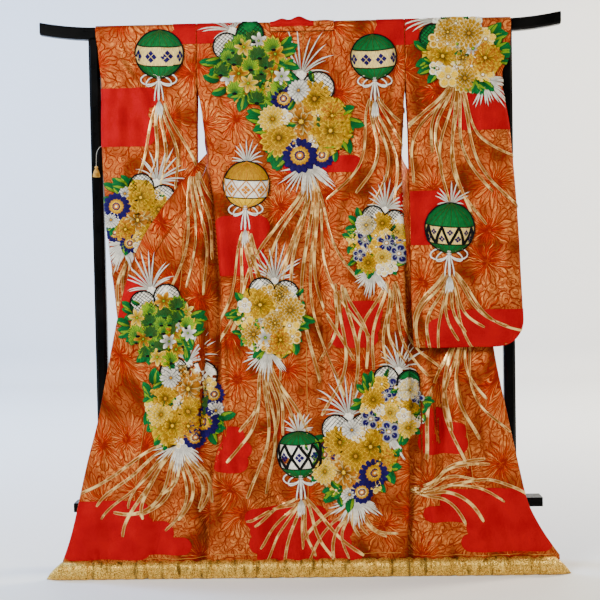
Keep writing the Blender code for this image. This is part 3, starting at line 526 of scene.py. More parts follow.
class Sketch(NodeWriter):
    """A material whose node tree is written as sums of signals."""

    def __init__(self, name: str, roughness: float, metallic: float = 0, gloss: float = 0.5) -> None:
        self.material = bpy.data.materials.new(name)
        self.material.use_nodes = True
        super().__init__(self.material.node_tree)
        self.surface = self.tree.nodes["Principled BSDF"].inputs
        self.surface["Roughness"].default_value = roughness
        self.surface["Metallic"].default_value = metallic
        self.surface["Specular IOR Level"].default_value = gloss

    def node(self, kind: str, settings: dict[str, Any] | None = None, **values: Any) -> Signal:
        """The first output of a new shader node."""
        return self.add("ShaderNode" + kind, settings, **values)

    def calc(self, operation: str, *values: Any) -> Signal:
        """A sum of numbers."""
        made = self.node("Math", {"operation": operation})
        for value, socket in zip(values, made.socket.node.inputs):
            self.put(value, socket)
        return made

    def vector(self, operation: str, first: Any, *second: Any) -> Signal:
        """A sum of vectors."""
        made = self.node("VectorMath", {"operation": operation})
        inputs = made.socket.node.inputs
        self.put(first, inputs[0])
        for value in second:
            self.put(value, inputs["Scale"] if operation == "SCALE" else inputs[1])
        return made["Value"] if operation == "LENGTH" else made

    def blend(self, factor: Any, first: Any, second: Any, how: str = "MIX") -> Signal:
        """Two colours mixed."""
        made = self.node("Mix", {"data_type": "RGBA", "blend_type": how})
        for value, number in ((factor, 0), (first, 6), (second, 7)):
            value = (*value, 1) if isinstance(value, tuple) else value
            self.put(value, made.socket.node.inputs[number])
        return made[2]

    def step(self, value: Any, low: float, high: float) -> Signal:
        """0 below low, 1 above high and smooth between; low may be the larger."""
        smoothed = {"interpolation_type": "SMOOTHSTEP"}
        return self.node("MapRange", smoothed, Value=value, From_Min=low, From_Max=high)

    def root(self, value: Any) -> Signal:
        """The square root of a number, and 0 below 0."""
        return self.calc("SQRT", self.calc("MAXIMUM", value, 0))

    def from_half(self, value: Any) -> Signal:
        """How far the part behind a number's point is from a half."""
        return abs(self.calc("FRACT", value) - 0.5)

    def noise(self, where: Any, scale: float, detail: float = 2) -> Signal:
        """A noise at a scale."""
        return self.node("TexNoise", Vector=where, Scale=scale, Detail=detail)

    def streaks(self, where: Any, scales: tuple[float, float, float], detail: float = 2) -> Signal:
        """A noise with a scale of its own along each axis."""
        return self.noise(self.vector("MULTIPLY", where, scales), 1, detail)

    def layer(self, name: str) -> Signal:
        """The place on the cloth, in metres, from one of the piece's own layers."""
        return self.node("UVMap", {"uv_map": name})

    def attribute(self, name: str) -> Signal:
        """One of the piece's own attributes."""
        return self.node("Attribute", {"attribute_name": name})

    def threads(self, where: Any, pitch: float, turned: float = 0) -> Signal:
        """Fine parallel threads, from 0 to 1, a pitch apart."""
        turn = self.node("Mapping", Vector=where, Rotation=(0, 0, radians(turned)))
        place = self.node("SeparateXYZ", Vector=turn)["Y"]
        return self.calc("SINE", place * (2 * pi / pitch)) * 0.5 + 0.5

    def polar(self, where: Any, pitch: float, loose: float) -> tuple[Signal, Signal, Signal]:
        """Scattered centres a pitch apart: the distance and angle from the nearest, and its lot."""
        cells = self.node("TexVoronoi", FLAT_CELLS, Vector=where, Scale=1 / pitch, Randomness=loose)
        arm = self.vector("SUBTRACT", where, cells["Position"])
        parts = self.node("SeparateXYZ", Vector=arm)
        angle = self.calc("ARCTAN2", parts["Y"], parts["X"])
        return self.vector("LENGTH", arm), angle, self.node("SeparateColor", Color=cells["Color"])

    def relief(self, height: Any, distance: float, strength: float = 1) -> None:
        """Bump from a height."""
        bump = self.node("Bump", Height=height, Distance=distance, Strength=strength)
        self.put(bump, self.surface["Normal"])

    def finish(self, colour: Any, **sockets: Any) -> Any:
        """Give the surface its colour and its other linked inputs; returns the material."""
        self.put(colour, self.surface["Base Color"])
        for name, value in sockets.items():
            self.put(value, self.surface[name])
        return self.material


@dataclass(frozen=True)
class BrocadeFinish:
    """Satin ground with metallic weft, woven with bursts of strokes, petals and small scrolls, mottled with
    painted sheen and shade.
    """

    tan: Colour = (0.76, 0.255, 0.052)
    salmon: Colour = (0.43, 0.088, 0.017)
    copper: Colour = (0.14, 0.018, 0.002)
    glow: Colour = (0.44, 0.013, 0.0005)
    line: Colour = (0.21, 0.004, 0.001)
    flower_pitch: float = 0.16
    flower_radius: float = 0.122
    petals: float = 13.0
    strokes: float = 46.0
    curl_pitch: float = 0.04
    curl_step: float = 0.0115
    line_half: float = 0.0013

    def petal_ring(self, pen: Sketch, reach: Signal, angle: Signal, radius: float, offset: float) -> Signal:
        """The outlines of one ring of long pointed petals.

        Args:
            pen: The material being written.
            reach: The distance from the flower's centre.
            angle: The angle round it.
            radius: How far the petals reach.
            offset: How far the ring is turned, in petals.

        Returns:
            How much of the lines shows.
        """
        share = reach / radius
        width = pen.root(share * (1 - share) * share * 6.2)
        aside = pen.from_half(angle * (self.petals / TURN) + (offset + 40)) * 2
        gap = abs((width - aside) * reach * (pi / self.petals))
        steep = pen.calc("POWER", share, 8) * 3 + 1
        outline = pen.step(gap / steep, 1.25 * self.line_half, 0.5 * self.line_half)
        return outline * pen.step(share, 1.03, 1)

    def burst(self, pen: Sketch, reach: Signal, angle: Signal, lot: Signal) -> tuple[Signal, Signal]:
        """Tapered strokes of uneven length round a centre.

        Args:
            pen: The material being written.
            reach: The distance from the centre.
            angle: The angle round it.
            lot: A chance number for each centre.

        Returns:
            How much of the strokes shows, and a chance number for each stroke.
        """
        turn = reach * 26 + (angle * (self.strokes / TURN) + 60)
        seed = lot * 77 + pen.calc("FLOOR", turn)
        chance = pen.node("TexWhiteNoise", ON_A_LINE, W=seed)
        left = 1 - reach / (chance["Value"] * 0.07 + 0.026)
        shown = pen.step(pen.root(left) * 0.5 - pen.from_half(turn), 0.02, 0.14)
        return shown, pen.node("SeparateColor", Color=chance["Color"])[1]

    def curls(self, pen: Sketch, where: Signal) -> Signal:
        """Small spirals, set close."""
        reach, angle, lot = pen.polar(where, self.curl_pitch, 0.9)
        way = pen.step(lot, 0.49, 0.51) * 2 - 1
        away = pen.from_half(reach / self.curl_step + angle * (way * (1 / TURN)))
        half = self.line_half / self.curl_step
        return pen.step(away, 1.5 * half, 0.6 * half)

    def build(self) -> Any:
        """The material."""
        pen = Sketch("brocade", 0.4, 0.3, 0.02)
        where = pen.layer("cloth")
        drift = pen.vector("SUBTRACT", pen.noise(where, 14, 3)["Color"], (0.5, 0.5, 0.5))
        bent = pen.vector("ADD", where, pen.vector("SCALE", drift, 0.045))
        reach, angle, lot = pen.polar(bent, self.flower_pitch, 0.8)
        radius = self.flower_radius
        lines = self.curls(pen, bent) * pen.step(reach, 0.5 * radius, 0.8 * radius)
        for size, offset in ((1, 0), (0.66, 0.5)):
            ring = self.petal_ring(pen, reach, angle, size * radius, offset)
            lines = pen.calc("MAXIMUM", lines, ring)
        strokes, kind = self.burst(pen, reach, angle, lot)
        broad, fine, grain = pen.noise(where, 7), pen.noise(where, 70, 3), pen.noise(where, 260, 1)
        # The broad mottling from copper through salmon to tan is painted sheen and shade of the satin, over
        # the weave's own colours.
        colour = pen.blend(pen.step(broad, 0.34, 0.5), self.copper, self.salmon)
        colour = pen.blend(pen.step(broad, 0.42, 0.6) * pen.step(fine, 0.4, 0.62), colour, self.tan)
        colour = pen.blend(pen.step(grain, 0.52, 0.3) * 0.4, colour, self.copper)
        hot = pen.step(broad * 0.06 + reach, 0.084, 0.036)
        colour = pen.blend(hot * 0.92, colour, self.glow)
        tint = pen.blend(pen.step(kind, 0.7, 0.75), self.glow, self.tan)
        colour = pen.blend(strokes * 0.8, colour, tint)
        drawn = lines * (pen.step(fine, 0.3, 0.55) * 0.45 + 0.5)
        colour = pen.blend(drawn, colour, self.line)
        weft, warp = pen.threads(where, 0.0011, 90), pen.threads(where, 0.0023)
        slub = pen.streaks(where, (40, 700, 1))
        colour = pen.blend(weft * 0.14, colour, self.copper)
        colour = pen.blend(pen.step(slub, 0.5, 0.8) * 0.22, colour, self.tan)
        soft = pen.streaks(where, (13, 5, 1))
        pen.relief(soft * 60 + (lines * 1.6 + (weft + warp)), 0.00022, 0.7)
        rough = slub * 0.12 + (lines * 0.14 + 0.32)
        return pen.finish(colour, Roughness=rough, Metallic=drawn * -0.3 + 0.5)


@dataclass(frozen=True)
class RedSilkFinish:
    """Plain woven red silk: the lining, or the satin of the clouds."""

    name: str
    layer: str
    bright: Colour = (0.43, 0.004, 0.008)
    dark: Colour = (0.34, 0.002, 0.0065)
    pitch: float = 0.001

    def build(self) -> Any:
        """The material."""
        pen = Sketch(self.name, 0.42, 0.15, 0)
        where = pen.layer(self.layer)
        weave = pen.threads(where, self.pitch) + pen.threads(where, self.pitch, 90)
        # tone sets how light the red is, in soft patches of painted sheen; the curls, a woven figure, make
        # it a little darker.
        tone = pen.noise(where, 16, 4)
        light = BrocadeFinish().curls(pen, where) * -0.16 + pen.step(tone, 0.25, 0.75)
        pen.relief(tone * 3 + weave, 0.00016, 0.5)
        return pen.finish(pen.blend(light, self.dark, self.bright), Roughness=tone * 0.2 + 0.32)


@dataclass(frozen=True)
class GoldHemFinish:
    """Gold brocade that glitters with short metallic threads, with painted glints, and painted shade and
    highlight on its wrinkles.
    """

    light: Colour = (1, 0.66, 0.13)
    middle: Colour = (0.56, 0.28, 0.035)
    dark: Colour = (0.075, 0.03, 0.005)

    def build(self) -> Any:
        """The material."""
        pen = Sketch("gold_brocade", 0.34, 0.75, 0.1)
        where = pen.layer("cloth")
        stretched = pen.vector("MULTIPLY", where, (1, 1.5, 1))
        specks = pen.node("TexVoronoi", FLAT_CELLS, Vector=stretched, Scale=480)
        lot = pen.node("SeparateColor", Color=specks["Color"])
        vine = pen.from_half(pen.noise(where, 60, 3) * 6)
        drawn = pen.streaks(where, (58, 14, 1), 3)
        # The light specks are painted glints of the glitter.
        colour = pen.blend(pen.step(lot, 0.3, 0.75), self.middle, self.light)
        colour = pen.blend(pen.step(vine, 0.17, 0.06) * 0.35, colour, self.dark)
        colour = pen.blend(pen.step(lot[1], 0.86, 0.9), colour, self.dark)
        # drawn is the wrinkle noise of the bump: painted shade in its hollows and painted highlight on its
        # crests.
        colour = pen.blend(pen.step(drawn, 0.47, 0.33) * 0.75, colour, self.dark)
        colour = pen.blend(pen.step(drawn, 0.58, 0.74), colour, self.light)
        pen.relief(drawn * 16 + (lot[2] + pen.threads(where, 0.0012, 90)), 0.0003, 0.9)
        return pen.finish(colour, Roughness=lot[1] * 0.35 + 0.22)


@dataclass(frozen=True)
class StitchedSilkFinish:
    """Satin stitches of silk floss; each patch brings its own two colours."""

    bound: Colour = (0.34, 0.26, 0.2)
    shaded: Colour = (0.42, 0.4, 0.36)
    lit: Colour = (1.42, 1.4, 1.34)
    floss_pitch: float = 0.0008

    def build(self) -> Any:
        """The material."""
        pen = Sketch("stitched_silk", 0.48, 0, 0.06)
        where = pen.layer("stitch")
        edge = pen.attribute("edge")["Fac"]
        colour = pen.blend(pen.step(edge, 0.48, 0.76), pen.attribute("core"), pen.attribute("rim"))
        floss = pen.step(pen.streaks(where, (60, 900, 1)), 0.25, 0.75)
        colour = pen.blend(1, colour, pen.blend(floss, self.shaded, self.lit), "MULTIPLY")
        bound = pen.blend(1, colour, self.bound, "MULTIPLY")
        pen.relief(pen.threads(where, self.floss_pitch), 0.0002, 0.6)
        return pen.finish(pen.blend(pen.step(edge, 0.86, 0.98), colour, bound))


@dataclass(frozen=True)
class GoldLeafFinish:
    """Flat strips of gold leaf between two couched pale threads, with painted highlights in places."""

    thread: Colour = (0.74, 0.44, 0.16)
    bright: Colour = (0.9, 0.6, 0.2)
    dull: Colour = (0.3, 0.095, 0.014)
    couching: float = 0.026

    def build(self) -> Any:
        """The material."""
        pen = Sketch("gold_leaf", 0.3, 0.45, 0.1)
        where = pen.layer("stitch")
        along = pen.node("SeparateXYZ", Vector=where)["X"]
        lot = pen.node("TexWhiteNoise", ON_A_LINE, W=pen.calc("FLOOR", along / self.couching))["Value"]
        crumple = pen.noise(where, 240)
        turned = pen.node("TexNoise", ON_A_LINE, W=along, Scale=17, Detail=2)
        # light is painted highlight: bright leaf where the crumpled, turning strip would catch the lamps.
        light = pen.step(crumple * 0.3 + (lot * 0.16 + turned), 0.66, 0.94)
        rim = pen.step(pen.attribute("edge")["Fac"], 0.58, 0.8)
        rubbed = pen.noise(where, 30) * 1.3 + 0.12
        colour = pen.blend(rim * rubbed, pen.blend(light, self.dull, self.bright), self.thread)
        pen.relief(crumple, 0.0005, 0.7)
        return pen.finish(colour, Roughness=lot * 0.3 + 0.22)


@dataclass(frozen=True)
class SewingThreadFinish:
    """Twisted thread of one colour, worn to another in places."""

    name: str = "sewing_thread"
    gold: Colour = (0.62, 0.33, 0.06)
    worn: Colour = (0.3, 0.03, 0.005)

    def build(self) -> Any:
        """The material."""
        pen = Sketch(self.name, 0.42, 0.3, 0.05)
        where = pen.node("TexCoord")["Object"]
        pen.relief(pen.threads(where, 0.0007, 35), 0.0002, 0.6)
        return pen.finish(pen.blend(pen.step(pen.noise(where, 55, 3), 0.45, 0.75), self.gold, self.worn))


@dataclass(frozen=True)
class LacquerFinish:
    """Deep black lacquer with faint dust and rubbing."""

    black: Colour = (0.0014, 0.0015, 0.0015)
    rubbed: Colour = (0.0045, 0.0042, 0.004)

    def build(self) -> Any:
        """The material."""
        pen = Sketch("black_lacquer", 0.3, 0, 0.05)
        where = pen.node("TexCoord")["Object"]
        cloud = pen.noise(where, 9, 5)
        pen.relief(pen.streaks(where, (90, 90, 6), 3), 0.0002, 0.15)
        colour = pen.blend(pen.step(cloud, 0.4, 0.75), self.black, self.rubbed)
        return pen.finish(colour, Roughness=cloud * 0.25 + 0.16)


@dataclass(frozen=True)
class StudioFinish:
    """The pale paper of the floor and the wall behind, with painted light making the floor lighter and
    warmer.
    """

    tone: Colour = (0.86, 0.86, 0.84)
    floor_lit_tone: Colour = (0.99, 0.985, 0.94)

    def build(self) -> Any:
        """The material."""
        pen = Sketch("studio_paper", 0.75, 0, 0.1)
        where = pen.node("TexCoord")["Object"]
        height = pen.node("SeparateXYZ", Vector=where)["Z"]
        # One paper: its floor part has a lighter, warmer tone that is painted light.
        paper = pen.blend(pen.step(height, 0, 0.25), self.floor_lit_tone, self.tone)
        worn = pen.blend(1, paper, (0.97, 0.97, 0.97), "MULTIPLY")
        return pen.finish(pen.blend(pen.noise(where, 1.4, 3), paper, worn))


class Finishes:
    """The materials of the scene, each made once."""

    def __init__(self) -> None:
        self.brocade = BrocadeFinish().build()
        self.lining = RedSilkFinish("red_silk", "cloth").build()
        self.red_cloud = RedSilkFinish("red_satin", "stitch").build()
        self.gold_hem = GoldHemFinish().build()
        self.silk = StitchedSilkFinish().build()
        self.leaf = GoldLeafFinish().build()
        self.thread = SewingThreadFinish().build()
        self.tassel = SewingThreadFinish("tassel_gold", (0.7, 0.42, 0.1), (0.36, 0.16, 0.02)).build()
        self.tacking = SewingThreadFinish("white_thread", (0.74, 0.72, 0.66), (0.5, 0.46, 0.38)).build()
        self.lacquer = LacquerFinish().build()
        self.paper = StudioFinish().build()


# ---- meshes

def show(thing: bpy.types.Object) -> None:
    """Put an object in the scene."""
    bpy.context.scene.collection.objects.link(thing)


def new_piece(
    name: str, points: np.ndarray, faces: np.ndarray, materials: Sequence[Any],
    layers: dict[str, np.ndarray] | None = None, slots: np.ndarray | None = None
) -> bpy.types.Object:
    """Make an object of quads.

    Args:
        name: The piece's name.
        points: Its points, one row each, in the frame of the drape.
        faces: Four point numbers a row.
        materials: Its material slots.
        layers: UV layers, with a pair of numbers for each point.
        slots: The material slot of each face.

    Returns:
        The object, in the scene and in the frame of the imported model.
    """
    mesh = bpy.data.meshes.new(name)
    mesh.vertices.add(len(points))
    placed = np.asarray(points, dtype=np.float64) + (0, STAND_Y, 0)
    mesh.vertices.foreach_set("co", placed.astype(np.float32).ravel())
    mesh.loops.add(faces.size)
    mesh.loops.foreach_set("vertex_index", faces.astype(np.int32).ravel())
    mesh.polygons.add(len(faces))
    mesh.polygons.foreach_set("loop_start", np.arange(0, faces.size, 4, dtype=np.int32))
    mesh.update(calc_edges=True)
    for material in materials:
        mesh.materials.append(material)
    if slots is not None:
        mesh.polygons.foreach_set("material_index", slots.astype(np.int32))
    for layer, values in (layers or {}).items():
        made = mesh.uv_layers.new(name=layer)
        made.data.foreach_set("uv", values[faces.ravel()].astype(np.float32).ravel())
    mesh.polygons.foreach_set("use_smooth", np.ones(len(faces), dtype=bool))
    mesh.validate()
    piece = bpy.data.objects.new(name, mesh)
    show(piece)
    return piece


def numbered(rows: int, columns: int) -> np.ndarray:
    """The corners of every cell of a grid of points, numbered row by row."""
    number = np.arange(rows * columns).reshape(rows, columns)
    return np.stack((number[:-1, :-1], number[1:, :-1], number[1:, 1:], number[:-1, 1:]), axis=-1)


def around(rows: int, columns: int) -> np.ndarray:
    """The faces of a tube of rings of points, numbered ring by ring."""
    number = np.arange(rows * columns).reshape(rows, columns)
    after = np.roll(number, -1, axis=1)
    return np.stack((number[:-1], number[1:], after[1:], after[:-1]), axis=-1).reshape(-1, 4)


def unit(vectors: np.ndarray) -> np.ndarray:
    """Vectors brought to length 1."""
    length = np.linalg.norm(vectors, axis=-1, keepdims=True)
    return vectors / np.maximum(length, 1e-12)


@dataclass
class ClothPanel:
    """A cut piece of cloth, as a thin closed shell on a grid of points.

    The grid runs down and then across.  cells says which of its cells the piece has.
    """

    node: str
    middle: np.ndarray
    turned: bool
    flat: tuple[float, float]
    area: float
    creases: Sequence[Crease] = ()
    cells: np.ndarray | None = None
    wall: float = WALL
    on_bar: bool = True
    start_across: float = 0.0
    red: np.ndarray | None = None
    group: str = ""
    ripple: float = 0.0011
    deepen: float = 2.1
    calm: np.ndarray | None = None
    outer: np.ndarray = field(init=False)

    def normals(self) -> np.ndarray:
        """The outward direction at every point of the grid."""
        down = np.gradient(self.middle, axis=0)
        across = np.gradient(self.middle, axis=1)
        sign = -1 if self.turned else 1
        return sign * unit(np.cross(down, across))

    def cloth_places(self) -> np.ndarray:
        """Distances along the cloth, across and down, at every point of the grid."""
        steps = np.linalg.norm(np.diff(self.middle, axis=1), axis=-1)
        across = np.pad(np.cumsum(steps, axis=1), ((0, 0), (1, 0)))
        steps = np.linalg.norm(np.diff(self.middle, axis=0), axis=-1)
        down = np.pad(np.cumsum(steps, axis=0), ((1, 0), (0, 0)))
        sign = 1 if self.turned else -1
        return np.stack((sign * (across + self.start_across), -down), axis=-1)

    def crease(self) -> None:
        """Press the creases and a slight unevenness into the grid."""
        x, z = self.middle[..., 0], self.middle[..., 2]
        depth = np.zeros_like(x)
        for mark in self.creases:
            along = np.array((mark.x1 - mark.x0, mark.z1 - mark.z0))
            length = np.linalg.norm(along)
            along /= length
            share = ((x - mark.x0) * along[0] + (z - mark.z0) * along[1]) / length
            aside = (z - mark.z0) * along[0] - (x - mark.x0) * along[1]
            spread = mark.width * (0.6 + 0.5 * np.clip(share, 0, 1))
            taper = smooth(share * 2.5) * smooth((1 - share) * 3)
            depth += self.deepen * mark.depth * taper * np.exp(-((aside / spread) ** 2))
        draw = random.Random(self.group)
        for _ in range(5):
            pitch, tall = draw.uniform(0.045, 0.11), draw.uniform(0.25, 0.6)
            phase, bend = draw.uniform(0, 6.28), draw.uniform(0, 6.28)
            wave = np.sin(6.283 * x / pitch + phase + 1.8 * np.sin(6.283 * z / tall + bend))
            depth += self.ripple * wave * (0.5 + 0.5 * np.sin(6.283 * z / (tall * 0.7) + phase))
        depth *= smooth((z - HEM_HEIGHT) / 0.05) * smooth((HANG_TOP - z) / 0.06)
        gather = np.sin(6.283 * x / HEM_GATHER + 2.2 * np.sin(6.283 * x / 0.17))
        gather *= 0.5 + 0.5 * np.sin(6.283 * x / 0.23 + 1)
        depth += HEM_PUCKER * gather * (1 - smooth((z - HEM_HEIGHT) / 0.055))
        if self.calm is not None:
            depth *= self.calm
        self.middle = self.middle + self.normals() * depth[..., None]

    def build(self, finishes: Finishes) -> bpy.types.Object:
        """Make the shell and hide the part it replaces.

        Args:
            finishes: The scene's materials.

        Returns:
            The piece.
        """
        self.crease()
        rows, columns = self.middle.shape[:2]
        cells = self.cells
        if cells is None:
            cells = np.ones((rows - 1, columns - 1), dtype=bool)
        kept = numbered(rows, columns)[cells][:, ::-1 if self.turned else 1]
        flat = self.middle.reshape(-1, 3)
        normal = self.normals().reshape(-1, 3) * 0.5 * self.wall
        centre = flat[kept].mean(axis=1)
        outward = np.zeros_like(flat)
        for corner in range(4):
            np.add.at(outward, kept[:, corner], flat[kept[:, corner]] - centre)
        outward = unit(outward)
        edges = np.concatenate([kept[:, (n, (n + 1) % 4)] for n in range(4)])
        key = edges[:, 0] * (rows * columns) + edges[:, 1]
        back_key = edges[:, 1] * (rows * columns) + edges[:, 0]
        rim = edges[~np.isin(key, back_key)]
        on_rim = np.zeros(len(flat), dtype=bool)
        on_rim[rim.ravel()] = True
        drawn = flat - outward * (0.5 * self.wall + 0.5 * SEAM) * on_rim[:, None]
        brim = flat - outward * 0.5 * SEAM
        points = np.concatenate((drawn + normal, drawn - normal, brim))
        count = len(flat)
        below, above = rim + count, rim + 2 * count
        sides = np.hstack((rim[:, ::-1], above)), np.hstack((above[:, ::-1], below))
        faces = np.concatenate((kept, kept[:, ::-1] + count, *sides))
        used, faces = np.unique(faces, return_inverse=True)
        faces = faces.reshape(-1, 4)
        slots = np.zeros(len(faces))
        slots[len(kept):2 * len(kept)] = 1
        if self.red is not None:
            slots[:len(kept)] = self.red[cells]
        places = np.tile(self.cloth_places().reshape(-1, 2), (3, 1))
        silks = (finishes.brocade, finishes.lining)
        piece = new_piece("cloth_" + self.node, points[used], faces, silks, {"cloth": places[used]}, slots)
        self.outer = points[:count].reshape(rows, columns, 3)
        self.cells = cells
        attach(piece, "root")
        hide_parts(self.node)
        LOG.info("%s: %d faces", piece.name, len(faces))
        return piece

    def declare(self, piece: bpy.types.Object, worked: Sequence[bpy.types.Object] = ()) -> None:
        """Takes the piece and the decoration that lies on it, and does nothing."""


# ---- the garment's panels

@dataclass
class Garment:
    """Every panel of the garment, cut at its real seams and laid on the drape."""

    back_flat: int = 44
    back_fold: int = 9
    row_step: float = 0.0125
    front_substeps: int = 7
    front_body: int = 34
    front_overlap: int = 16
    front_collar: int = 5
    sleeve_across: int = 36
    panels: dict[str, ClothPanel] = field(default_factory=dict)

    def heights(self, top: float, bottom: float) -> list[float]:
        """Row heights down a hanging piece."""
        return spaced(top, bottom, int((top - bottom) / self.row_step) + 1)

    @staticmethod
    def sink(grid: list[list[Vector]]) -> np.ndarray:
        """A grid's points, with its last row carried down into the padded hem."""
        hidden = [point + Vector((0, 0, HEM_SINK - HEM_HEIGHT)) for point in grid[-1]]
        return np.array([[tuple(point) for point in row] for row in [*grid, hidden]])

    def back(self, side: Side) -> ClothPanel:
        """A back length, over the bar at the shoulder and cut away at the neck."""
        flat = [FLAT_SHARE * n / self.back_flat for n in range(self.back_flat + 1)]
        neck = min(range(len(flat)), key=lambda n: abs(flat[n] - NECK_SHARE))
        flat[neck] = NECK_SHARE
        fold = [mix(FLAT_SHARE, 1, n / self.back_fold) for n in range(1, self.back_fold + 1)]
        shares = [0, 0.008] + flat[1:] + fold
        neck += 1
        grid = []
        for y, z in ridge_path(5):
            tops = [back_point(side, across, HANG_TOP) for across in shares]
            grid.append([Vector((point.x, y, z)) for point in tops])
        over_bar = len(grid)
        for height in self.heights(1.745, HEM_HEIGHT):
            grid.append([back_point(side, across, height) for across in shares])
        middle = self.sink(grid)
        cells = np.ones((len(grid), len(shares) - 1), dtype=bool)
        cells[:over_bar, :neck] = False
        return ClothPanel(
            node="back_" + side.word, middle=middle,
            turned=side is Side.LEFT, flat=(0.34, 1.79), area=0.6, creases=BODY_CREASES, cells=cells,
            group="back"
        )

    def front_group(self, side: Side) -> list[ClothPanel]:
        """A front, its overlap panel and its stretch of collar, from one draped surface."""
        last = len(FRONT[side]) - 1
        steps = spaced(0, last, last * self.front_substeps + 1)
        grid = []
        for step in steps:
            row = between_rows(FRONT[side], step)
            shares = [row.seam * n / self.front_body for n in range(self.front_body + 1)]
            for start, end, count in (
                (row.seam, row.band, self.front_overlap), (row.band, 1, self.front_collar)
            ):
                shares += [mix(start, end, n / count) for n in range(1, count + 1)]
            grid.append([front_point(side, step, across) for across in shares])
        middle = self.sink(grid)
        rows, columns = len(grid), middle.shape[1] - 1
        at_row, at_column = np.mgrid[0:rows, 0:columns]
        seam, band = self.front_body, self.front_body + self.front_overlap
        overlap_row = OVERLAP_FIRST * self.front_substeps
        collar_row = COLLAR_LAST[side] * self.front_substeps
        body = (at_column < seam) | ((at_column < band) & (at_row < overlap_row))
        collar = (at_column >= band) & (at_row < collar_row)
        cuts = {
            "front": (body, (0.32, 1.79), FRONT_AREA[side], WALL, 0),
            "okumi": (~body & ~collar, (0.16, 1.33), OKUMI_AREA[side], WALL, 0.02),
            "collar": (collar, (0.11, 1.05), COLLAR_AREA[side], COLLAR_WALL, 0.3)
        }
        return [
            ClothPanel(
                node=word + "_" + side.word, middle=middle, turned=side is Side.LEFT, flat=flat, area=area,
                creases=FRONT_CREASES[side], cells=cells, wall=wall, on_bar=word == "front",
                start_across=start, group="front_" + side.word
            ) for word, (cells, flat, area, wall, start) in cuts.items()
        ]

    def collar_back(self) -> ClothPanel:
        """The collar's stretch over the bar, its red lining turned out in soft bumps."""
        left = back_point(Side.LEFT, NECK_SHARE, HANG_TOP).x + SEAM
        right = back_point(Side.RIGHT, NECK_SHARE, HANG_TOP).x - SEAM
        grid = []
        stations = len(COLLAR_PATH)
        for place in spaced(0, stations - 1, (stations - 1) * 4 + 1):
            at = between_rows(COLLAR_PATH, place)
            swell = sin(pi * place / (stations - 1)) ** 2
            points = []
            for x in spaced(left, right, 61):
                rise = 0
                for bulge in COLLAR_BULGES:
                    rise += bulge.height * exp(-(((x - bulge.place) / bulge.width) ** 2))
                points.append((x, at.y, at.z + rise * swell))
            grid.append(points)
        middle = np.array(grid)
        spot = middle[:-1, :-1]
        turned_out = (spot[..., 0] < 0.046) & ((spot[..., 2] > 1.7605) | (spot[..., 1] > 0))
        return ClothPanel(
            node="collar_back", middle=middle, turned=True, flat=(0.215, 0.125), area=0.0262,
            red=turned_out, group="collar", ripple=0.0003
        )

    def sleeve(self, side: Side, layer: str) -> ClothPanel:
        """One side of a sleeve; the back side runs over the bar."""
        shares = [0.9 * n / self.sleeve_across for n in range(self.sleeve_across + 1)]
        shares += [0.9 + 0.1 * sin(radians(11.25 * n)) for n in range(1, 9)]
        top = 1.745
        grid = []
        if layer == "back":
            for y, z in ridge_path(5):
                tops = [sleeve_point(side, layer, across, HANG_TOP) for across in shares]
                grid.append([Vector((point.x, y, z)) for point in tops])
        else:
            top = 1.74
            tops = [sleeve_point(side, layer, across, 1.753) for across in shares]
            grid.append([Vector((point.x, RIDGE_HALF, 1.753)) for point in tops])
        heights = self.heights(top, SLEEVE_BOTTOM + SLEEVE_CORNER)
        bottom = spaced(0, 90, 15)[1:]
        for turn in bottom:
            heights.append(SLEEVE_BOTTOM + SLEEVE_CORNER * (1 - sin(radians(turn))))
        for height in heights:
            grid.append([sleeve_point(side, layer, across, height) for across in shares])
        creases = SLEEVE_CREASES[side]
        if layer == "front":
            creases = [
                Crease(m.x0 + 0.04, m.z0 - 0.05, m.x1 - 0.03, m.z1, m.width * 1.2, m.depth * 0.8)
                for m in creases
            ]
        middle = np.array([[tuple(point) for point in row] for row in grid])
        to_outer = np.abs(middle[:, -1:, 0] - middle[..., 0])
        calm = smooth(to_outer / 0.05) * smooth((middle[..., 2] - SLEEVE_BOTTOM) / 0.06)
        node = "sleeve_" + side.word + "_" + layer
        return ClothPanel(
            node=node, middle=middle, turned=(side is Side.LEFT) == (layer == "back"), flat=(0.34, 1.08),
            area=SLEEVE_AREA[side, layer], creases=creases, on_bar=layer == "back", group=node, calm=calm
        )

    def cut(self) -> None:
        """Cut every panel."""
        panels = [self.collar_back()]
        for side in Side:
            panels.append(self.back(side))
            panels.extend(self.front_group(side))
            panels.extend(self.sleeve(side, layer) for layer in ("back", "front"))
        self.panels = {panel.node: panel for panel in panels}


# ---- drawing the decoration

class Silk(Enum):
    """Colours of the floss."""

    WHITE = (0.94, 0.9, 0.79)
    SILVER = (0.4, 0.4, 0.4)
    CREAM = (0.92, 0.69, 0.23)
    GOLD = (0.54, 0.26, 0.005)
    YELLOW = (0.92, 0.56, 0.012)
    AMBER = (0.58, 0.2, 0.008)
    BROWN = (0.17, 0.07, 0.008)
    NAVY = (0.01, 0.003, 0.095)
    GREEN = (0.006, 0.15, 0.03)
    LIME = (0.23, 0.42, 0.01)
    PINE = (0.03, 0.08, 0.012)
    BLACK = (0.004, 0.004, 0.0045)
    RED = (0.36, 0.002, 0.006)


WHITE, SILVER, CREAM, GOLD, YELLOW, AMBER, BROWN, NAVY, GREEN, LIME, PINE, BLACK, RED = Silk


class Thread(Enum):
    """What a patch is worked in; the value is its material slot."""

    SILK = 0
    LEAF = 1
    SATIN = 2


